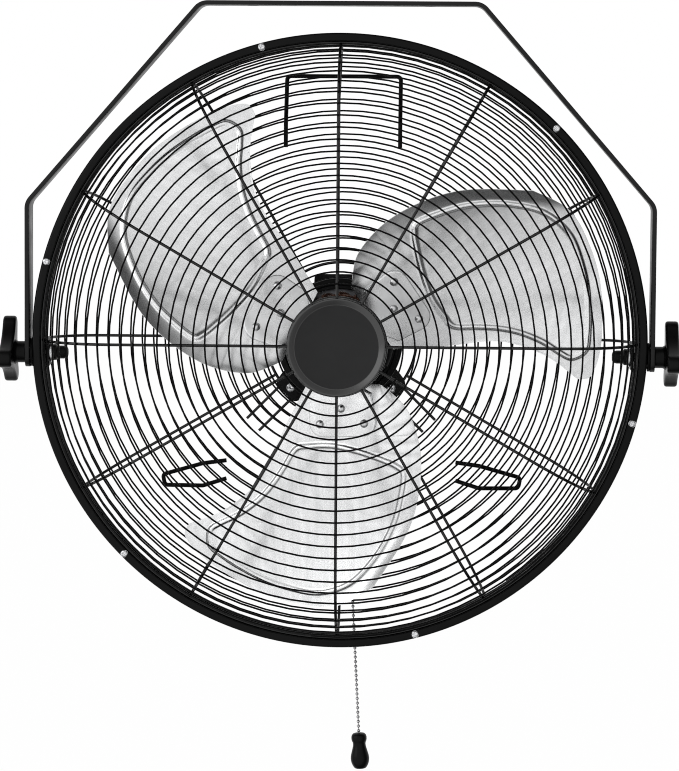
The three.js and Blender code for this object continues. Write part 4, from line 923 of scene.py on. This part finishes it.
# The line of the blade's embossed bead, in its plan: closed, and clear of the blade's edge.
BEAD_LINE = [(0.493, 0.215), (0.583, 0.196), (0.674, 0.165), (0.769, 0.113), (0.843, 0.055)]
BEAD_LINE += [(0.898, -0.004), (0.931, -0.075), (0.941, -0.153), (0.922, -0.243), (0.889, -0.333)]
BEAD_LINE += [(0.840, -0.421), (0.790, -0.490), (0.752, -0.527), (0.697, -0.522), (0.670, -0.482)]
BEAD_LINE += [(0.637, -0.411), (0.584, -0.336), (0.524, -0.278), (0.461, -0.232), (0.394, -0.184)]
BEAD_LINE += [(0.384, -0.132), (0.383, -0.047), (0.406, 0.050), (0.439, 0.139), (0.463, 0.190)]
BEAD_KNOTS = [Vector(share) * BLADE_RADIUS for share in BEAD_LINE]
BEAD = np.array([tuple(p) for p in closed_curve(BEAD_KNOTS, 10)])
BEAD_RISE, BEAD_HALF, PANEL_RISE, CAMBER, ROLL, BLADE_SHEET = 2.1, 1.9, 0.9, 9, 2, 1.2


def bead_distance(x, y):
    """The distance to the bead's line, negative inside of it."""
    a, b = BEAD, np.roll(BEAD, -1, axis=0)
    ab = b - a
    ap = np.array((x, y)) - a
    t = np.clip((ap * ab).sum(1) / (ab * ab).sum(1), 0, 1)
    gap = np.hypot(*(ap - ab * t[:, None]).T).min()
    crosses = ((a[:, 1] > y) != (b[:, 1] > y)) & (
        x < a[:, 0] + (y - a[:, 1]) / np.where(ab[:, 1] == 0, 1e-9, ab[:, 1]) * ab[:, 0]
    )
    return -gap if crosses.sum() % 2 else gap


def blade_height(plan, over):
    past = max((plan.x - ARM_REACH) / (BLADE_RADIUS - ARM_REACH), 0)
    twist = plan.y * math.tan((BLADE_PITCH - BLADE_TIP_PITCH) * past)
    camber = CAMBER * min(2 * past, 1) * (1 - (2 * over - 1) ** 2)
    gap = bead_distance(plan.x, plan.y)
    bead = BEAD_RISE * math.exp(-((gap / BEAD_HALF) ** 4) * 0.7)
    inside = 1 / (1 + math.exp(min(gap / 1.2, 50)))
    # The trailing edge is rolled forward, clear of the arm.
    edge = max((over - 0.78) / 0.22, 0)
    free = min(max(4 * past, (plan.y - ARM_HALF - 3) / 12, 0), 1)
    return twist + camber - bead - PANEL_RISE * inside - ROLL * free * edge**2


def blade_form():
    """The sheet's front and back, and a rounded wall round its edge, in its arm's own plane."""
    wide, long = 190, 180
    shares = [i / (wide - 1) for i in range(wide)]
    overs = [(1 - math.cos(math.pi * t)) / 2 * 0.35 + t * 0.65 for t in shares]
    outs = [i / (long - 1) for i in range(long)]
    front = []
    for out in outs:
        for over in overs:
            plan = blade_plan(out, over)
            y = blade_height(plan, over) + SEAT
            front.append(Vector((plan.x, y, plan.y / math.cos(BLADE_PITCH))))
    back = [p + Vector((0, BLADE_SHEET, 0)) for p in front]
    form = Form(front + back)
    count = len(front)
    for i in range(long - 1):
        for j in range(wide - 1):
            a = i * wide + j
            form.faces.append([a, a + wide, a + wide + 1, a + 1])
            form.faces.append([count + a, count + a + 1, count + a + wide + 1, count + a + wide])
    rim = list(range(wide - 1)) + [i * wide + wide - 1 for i in range(long - 1)]
    rim += [(long - 1) * wide + j for j in range(wide - 1, 0, -1)]
    rim += [i * wide for i in range(long - 1, 0, -1)]
    for a, b in zip(rim, rim[1:] + rim[:1]):
        form.faces.append([a, b, b + count, a + count])
    return form


def arm_outline():
    half, corner = ARM_HALF, 14
    points = [(0, -6), (20, -8)]
    shares = [k / 8 for k in range(1, 9)]
    points += [(curved(20, 36, 46, t), curved(-8, -10, 3 - half, t)) for t in shares]
    for k in range(9):
        turn = -math.pi / 2 + math.pi / 2 * k / 8
        x, z = ARM_REACH - corner, corner - half
        points.append((x + corner * math.cos(turn), z + corner * math.sin(turn)))
    return points + [(x, -z) for x, z in reversed(points)]


def make_rotor():
    hub = [(5.4, HUB_FRONT), (12, HUB_FRONT), (14, HUB_FRONT + 2), (20, ARM_LEVEL - 8)]
    hub += [(20, ARM_LEVEL + 7), (5.4, ARM_LEVEL + 7)]
    spider = lathe(rounded(hub, 0.8, 2, True), 64, True)
    arm = plate(arm_outline(), -2.5, 0, 1.2, 4)
    sheet = blade_form()
    rivets = Form()
    dome = [(0, -2.7), (1.1, -2.58), (2.1, -2.22), (3.0, -1.6), (3.6, -0.9), (3.9, 0), (1.9, 0)]
    dome = lathe(dome + [(1.9, 5.6), (2.9, 6), (0, 6.6)], 28)
    for i in range(3):
        around = round_y(math.radians(BLADE_ANGLE + 120 * i))
        place = Matrix.Translation((0, ARM_LEVEL, 0)) @ around @ Matrix.Rotation(BLADE_PITCH, 4, "X")
        spider.add(arm.moved(place))
        name, form, node = f"pressed_blade_{i + 1}", sheet.moved(place), f"blade_{i + 1}"
        blade = make(name, form, ALUMINIUM, "rotor", [node], sharp=50)
        grain = blade.data.attributes.new("grain", "FLOAT_VECTOR", "POINT")
        grain.data.foreach_set("vector", [c * MM for p in sheet.points for c in p])
        for x, z in ((ARM_REACH - 26, 0), (ARM_REACH - 12, 22), (ARM_REACH - 12, -22)):
            rivets.add(dome.at(x, -2.8, z).moved(place))
    make("spider", spider, SPIDER_ALUMINIUM, "rotor", ["blade_spider"])
    nodes = [f"rivet_{i}{c}" for i in (1, 2, 3) for c in "abc"]
    make("rivets", rivets, RIVET_METAL, "rotor", nodes, sharp=50)


make_rotor()

# ---------------------------------------------------------------- switch housing


def rounded_box(width, depth, height, corner, steps=5):
    bm = bmesh.new()
    bmesh.ops.create_cube(bm, size=1)
    for v in bm.verts:
        v.co = Vector((v.co.x * width, v.co.y * depth, v.co.z * height))
    bmesh.ops.bevel(bm, geom=list(bm.edges), offset=corner, segments=steps, profile=0.5, affect="EDGES")
    return from_bmesh(bm)


def corner_outline(width, height, corner, steps=8, drop=0.0):
    points = []
    for sx, sz, start in ((1, 1, 0), (-1, 1, 90), (-1, -1, 180), (1, -1, 270)):
        for k in range(steps + 1):
            turn = math.radians(start + 90 * k / steps)
            x = sx * (width / 2 - corner) + corner * math.cos(turn)
            z = sz * (height / 2 - corner) + corner * math.sin(turn)
            points.append((x, z + drop))
    return points


def make_housing():
    front, rear = HOUSING_FRONT, HOUSING_REAR
    shell = plate(corner_outline(62, 92, 9, drop=-4), front, rear, 2.6, 5)
    lid = plate(corner_outline(50, 80, 6, drop=-4), rear - 0.6, rear + 0.7, 0.5, 3)
    seam = plate(corner_outline(62.8, 92.8, 9.4, drop=-4), front + 7.6, front + 8.6, 0.3, 2)
    shell.add(lid).add(seam)
    make("switch_box", shell, PLASTIC, "head", ["switch_housing"])
    screws = Form()
    random.seed(7)
    for x, z in ((-20, 30), (20, 30), (-20, -38), (20, -38)):
        turn = Matrix.Rotation(math.pi, 4, "Z") @ Matrix.Rotation(random.uniform(0, 3), 4, "Y")
        screws.add(screw_head(2.9, 1.6).moved(Matrix.Translation((x, rear + 0.6, z)) @ turn))
    make("lid_screws", screws, ZINC, "head", ())

    radius = 11.5 / math.sqrt(3)  # of a nut that is 11.5 mm across its flats
    turns = [math.radians(60 * k) for k in range(6)]
    nut = plate([(radius * math.cos(t), radius * math.sin(t)) for t in turns], 50.2, 53.2, 0.4, 2)
    switch = collar(1.7, 4.5, 45, 55, 0.5, 36).add(nut).moved(DOWN_Z)
    switch = switch.add(rounded_box(14, 20, 22, 1.5).at(0, 0, -36.5))
    switch = switch.at(SWITCH_X, SWITCH_Y, 0)
    make("switch_body", switch, PLASTIC, "head", ["pull_switch"])
    eyelet = [(0, 41.3), (1.2, 41.3), (1.2, 55.2), (2.6, 55.4), (3, 56.4), (3, 61.6)]
    eyelet += [(2.7, 63.2), (2, 64.2), (0, 64.3)]
    form = lathe(eyelet, 32).moved(DOWN_Z).at(SWITCH_X, SWITCH_Y, 0)
    make("chain_eyelet", form, NICKEL, "switch_pull", ["pull_eyelet"])
    gland = [(3.6, 45.8), (6, 45.8), (6, 47.5), (5, 47.5), (5, 50.3), (7.5, 50.3)]
    gland += [(7.5, 53), (6.6, 54.2), (6, 57), (5, 62), (3.6, 62)]
    form = lathe(rounded(gland, 0.4, 2, True), 40, True).moved(DOWN_Z)
    around = [math.pi * k / 16 for k in range(32)]
    for ring in (55.6, 57.4, 59.2):
        path = [(6.1 * math.cos(t), 6.1 * math.sin(t), -ring) for t in around]
        form.add(tube(path, 0.45, 6, closed=True))
    make("cord_inlet", form.at(GLAND_X, SWITCH_Y, 0), NYLON, "head", ["cord_gland"])


# ---------------------------------------------------------------- wire loops


def make_loops():
    hanger = [(-HANGER_HALF, LOOP_SEAT, HANGER_FOOT), (-HANGER_HALF, LOOP_SEAT, HANGER_BEND)]
    hanger += [(-HANGER_HALF, LOOP_SEAT + 22, HANGER_HIGH)]
    hanger += [(-x, y, z) for x, y, z in reversed(hanger)]
    form = tube(rounded_path(hanger, 4), 2, 12)
    make("hanger_wire", form, WIRE_PAINT, "head", ["hanger_loop"], sharp=60)
    out = LOOP_SEAT + 16
    for name, side in (("left", -1), ("right", 1)):
        hook = [(HOOK_INNER, LOOP_SEAT, 8.5), (HOOK_BEND, LOOP_SEAT, 5.5), (HOOK_OUTER, out, -7)]
        hook += [(HOOK_OUTER - 2, out, -17), (HOOK_BEND, LOOP_SEAT, -15.5)]
        hook += [(HOOK_INNER, LOOP_SEAT, -8.5)]
        form = tube(rounded_path([(side * x, y, z - HOOK_DROP) for x, y, z in hook], 3.5), 2, 12)
        node = f"{name}_cord_hook"
        make(f"{name}_hook_wire", form, WIRE_PAINT, "head", [node], sharp=60)


make_housing()
make_loops()

# ---------------------------------------------------------------- CAD nodes that stay in sight

KEPT = {
    "capacitor": LAMINATION,
    "front_bearing": ZINC,
    "rear_bearing": ZINC,
    "rotor_shaft": ZINC,
    "rotor_core": LAMINATION,
}
for node, material in KEPT.items():
    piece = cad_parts[node]
    piece.data.materials.clear()
    piece.data.materials.append(material)

# ---------------------------------------------------------------- studio


SOFT_LIGHT, FRONT_WALL, SIDE_WALL, LEFT_REACH = 0.6, 1.3, 0.13, 0.65
FLOOR_REACH, FLOOR_LEVEL, FLOOR_WHITE = 8.0, -0.86, 0.985


def studio_node(tree, kind, *values, **settings):
    return new_node(tree, kind, *values, **settings).outputs[0]


def mixed(tree, share, first, second):
    return studio_node(tree, "ShaderNodeMixShader", share, first, second)


def ray(tree, kind):
    return tree.nodes.new("ShaderNodeLightPath").outputs[f"Is {kind} Ray"]


def backdrop_rays(tree):
    """1 for the rays that see the backdrop itself: the camera's, and those through glass."""
    rays = ray(tree, "Camera"), ray(tree, "Transmission")
    return studio_node(tree, "ShaderNodeMath", *rays, operation="MAXIMUM")


def make_floor():
    """A pale floor under the fan. To the camera it has the backdrop's white, less its shadow."""
    mesh = bpy.data.meshes.new("floor")
    corners = [(-1, -1), (1, -1), (1, 1), (-1, 1)]
    points = [(x * FLOOR_REACH, y * FLOOR_REACH, FLOOR_LEVEL) for x, y in corners]
    mesh.from_pydata(points, [], [(0, 1, 2, 3)])
    floor = bpy.data.objects.new("floor", mesh)
    scene.collection.objects.link(floor)
    material = bpy.data.materials.new("pale_floor")
    material.use_nodes = True
    tree = material.node_tree
    tree.nodes.clear()
    pale = studio_node(tree, "ShaderNodeBsdfDiffuse", (0.86, 0.86, 0.86, 1))
    white = studio_node(tree, "ShaderNodeEmission", (1, 1, 1, 1), 1.0)
    rays = backdrop_rays(tree)
    share = studio_node(tree, "ShaderNodeMath", rays, FLOOR_WHITE, operation="MULTIPLY")
    # Metal mirrors the room and not the floor.
    clear = studio_node(tree, "ShaderNodeBsdfTransparent")
    seen = mixed(tree, ray(tree, "Glossy"), mixed(tree, share, pale, white), clear)
    output = tree.nodes.new("ShaderNodeOutputMaterial")
    tree.links.new(seen, output.inputs["Surface"])
    mesh.materials.append(material)


def make_world():
    """A white backdrop behind the fan. On its front side metal sees a pale wall that darkens
    to the sides."""
    world = bpy.data.worlds.new("studio")
    scene.world = world
    world.use_nodes = True
    tree = world.node_tree
    tree.nodes.clear()
    apart = tree.nodes.new("ShaderNodeSeparateXYZ")
    way = tree.nodes.new("ShaderNodeTexCoord").outputs["Generated"]
    tree.links.new(way, apart.inputs[0])
    x, y = apart.outputs["X"], apart.outputs["Y"]

    def background(strength):
        return studio_node(tree, "ShaderNodeBackground", (1, 1, 1, 1), strength)

    def spread(*values):
        return studio_node(tree, "ShaderNodeMapRange", *values, interpolation_type="SMOOTHSTEP")

    # The pale wall reaches further round on the left.
    leftward = studio_node(tree, "ShaderNodeMath", x, 0.0, operation="MINIMUM")
    left = studio_node(tree, "ShaderNodeMath", leftward, LEFT_REACH, operation="MULTIPLY")
    ahead = studio_node(tree, "ShaderNodeMath", y, left, operation="ADD")
    front = background(spread(ahead, -0.97, -0.3, FRONT_WALL, SIDE_WALL))
    metal = mixed(tree, spread(y, 0.05, 0.35, 0.0, 1.0), front, background(1.0))
    room = mixed(tree, ray(tree, "Glossy"), background(SOFT_LIGHT), metal)
    seen = mixed(tree, backdrop_rays(tree), room, background(1.0))
    output = tree.nodes.new("ShaderNodeOutputWorld")
    tree.links.new(seen, output.inputs["Surface"])


def softbox(name, place, size, power, aim=(0, 0, -0.31)):
    data = bpy.data.lights.new(name, "AREA")
    data.shape, data.size, data.size_y = "RECTANGLE", size[0], size[1]
    data.energy = power
    lamp = bpy.data.objects.new(name, data)
    lamp.location = place
    lamp.rotation_euler = (Vector(aim) - Vector(place)).to_track_quat("-Z", "Y").to_euler()
    scene.collection.objects.link(lamp)


make_floor()
make_world()
softbox("left_box", (-2.7, -1.7, 0.9), (2.4, 3.0), 26)
scene.view_settings.view_transform = "Standard"
scene.cycles.filter_width = 1.0
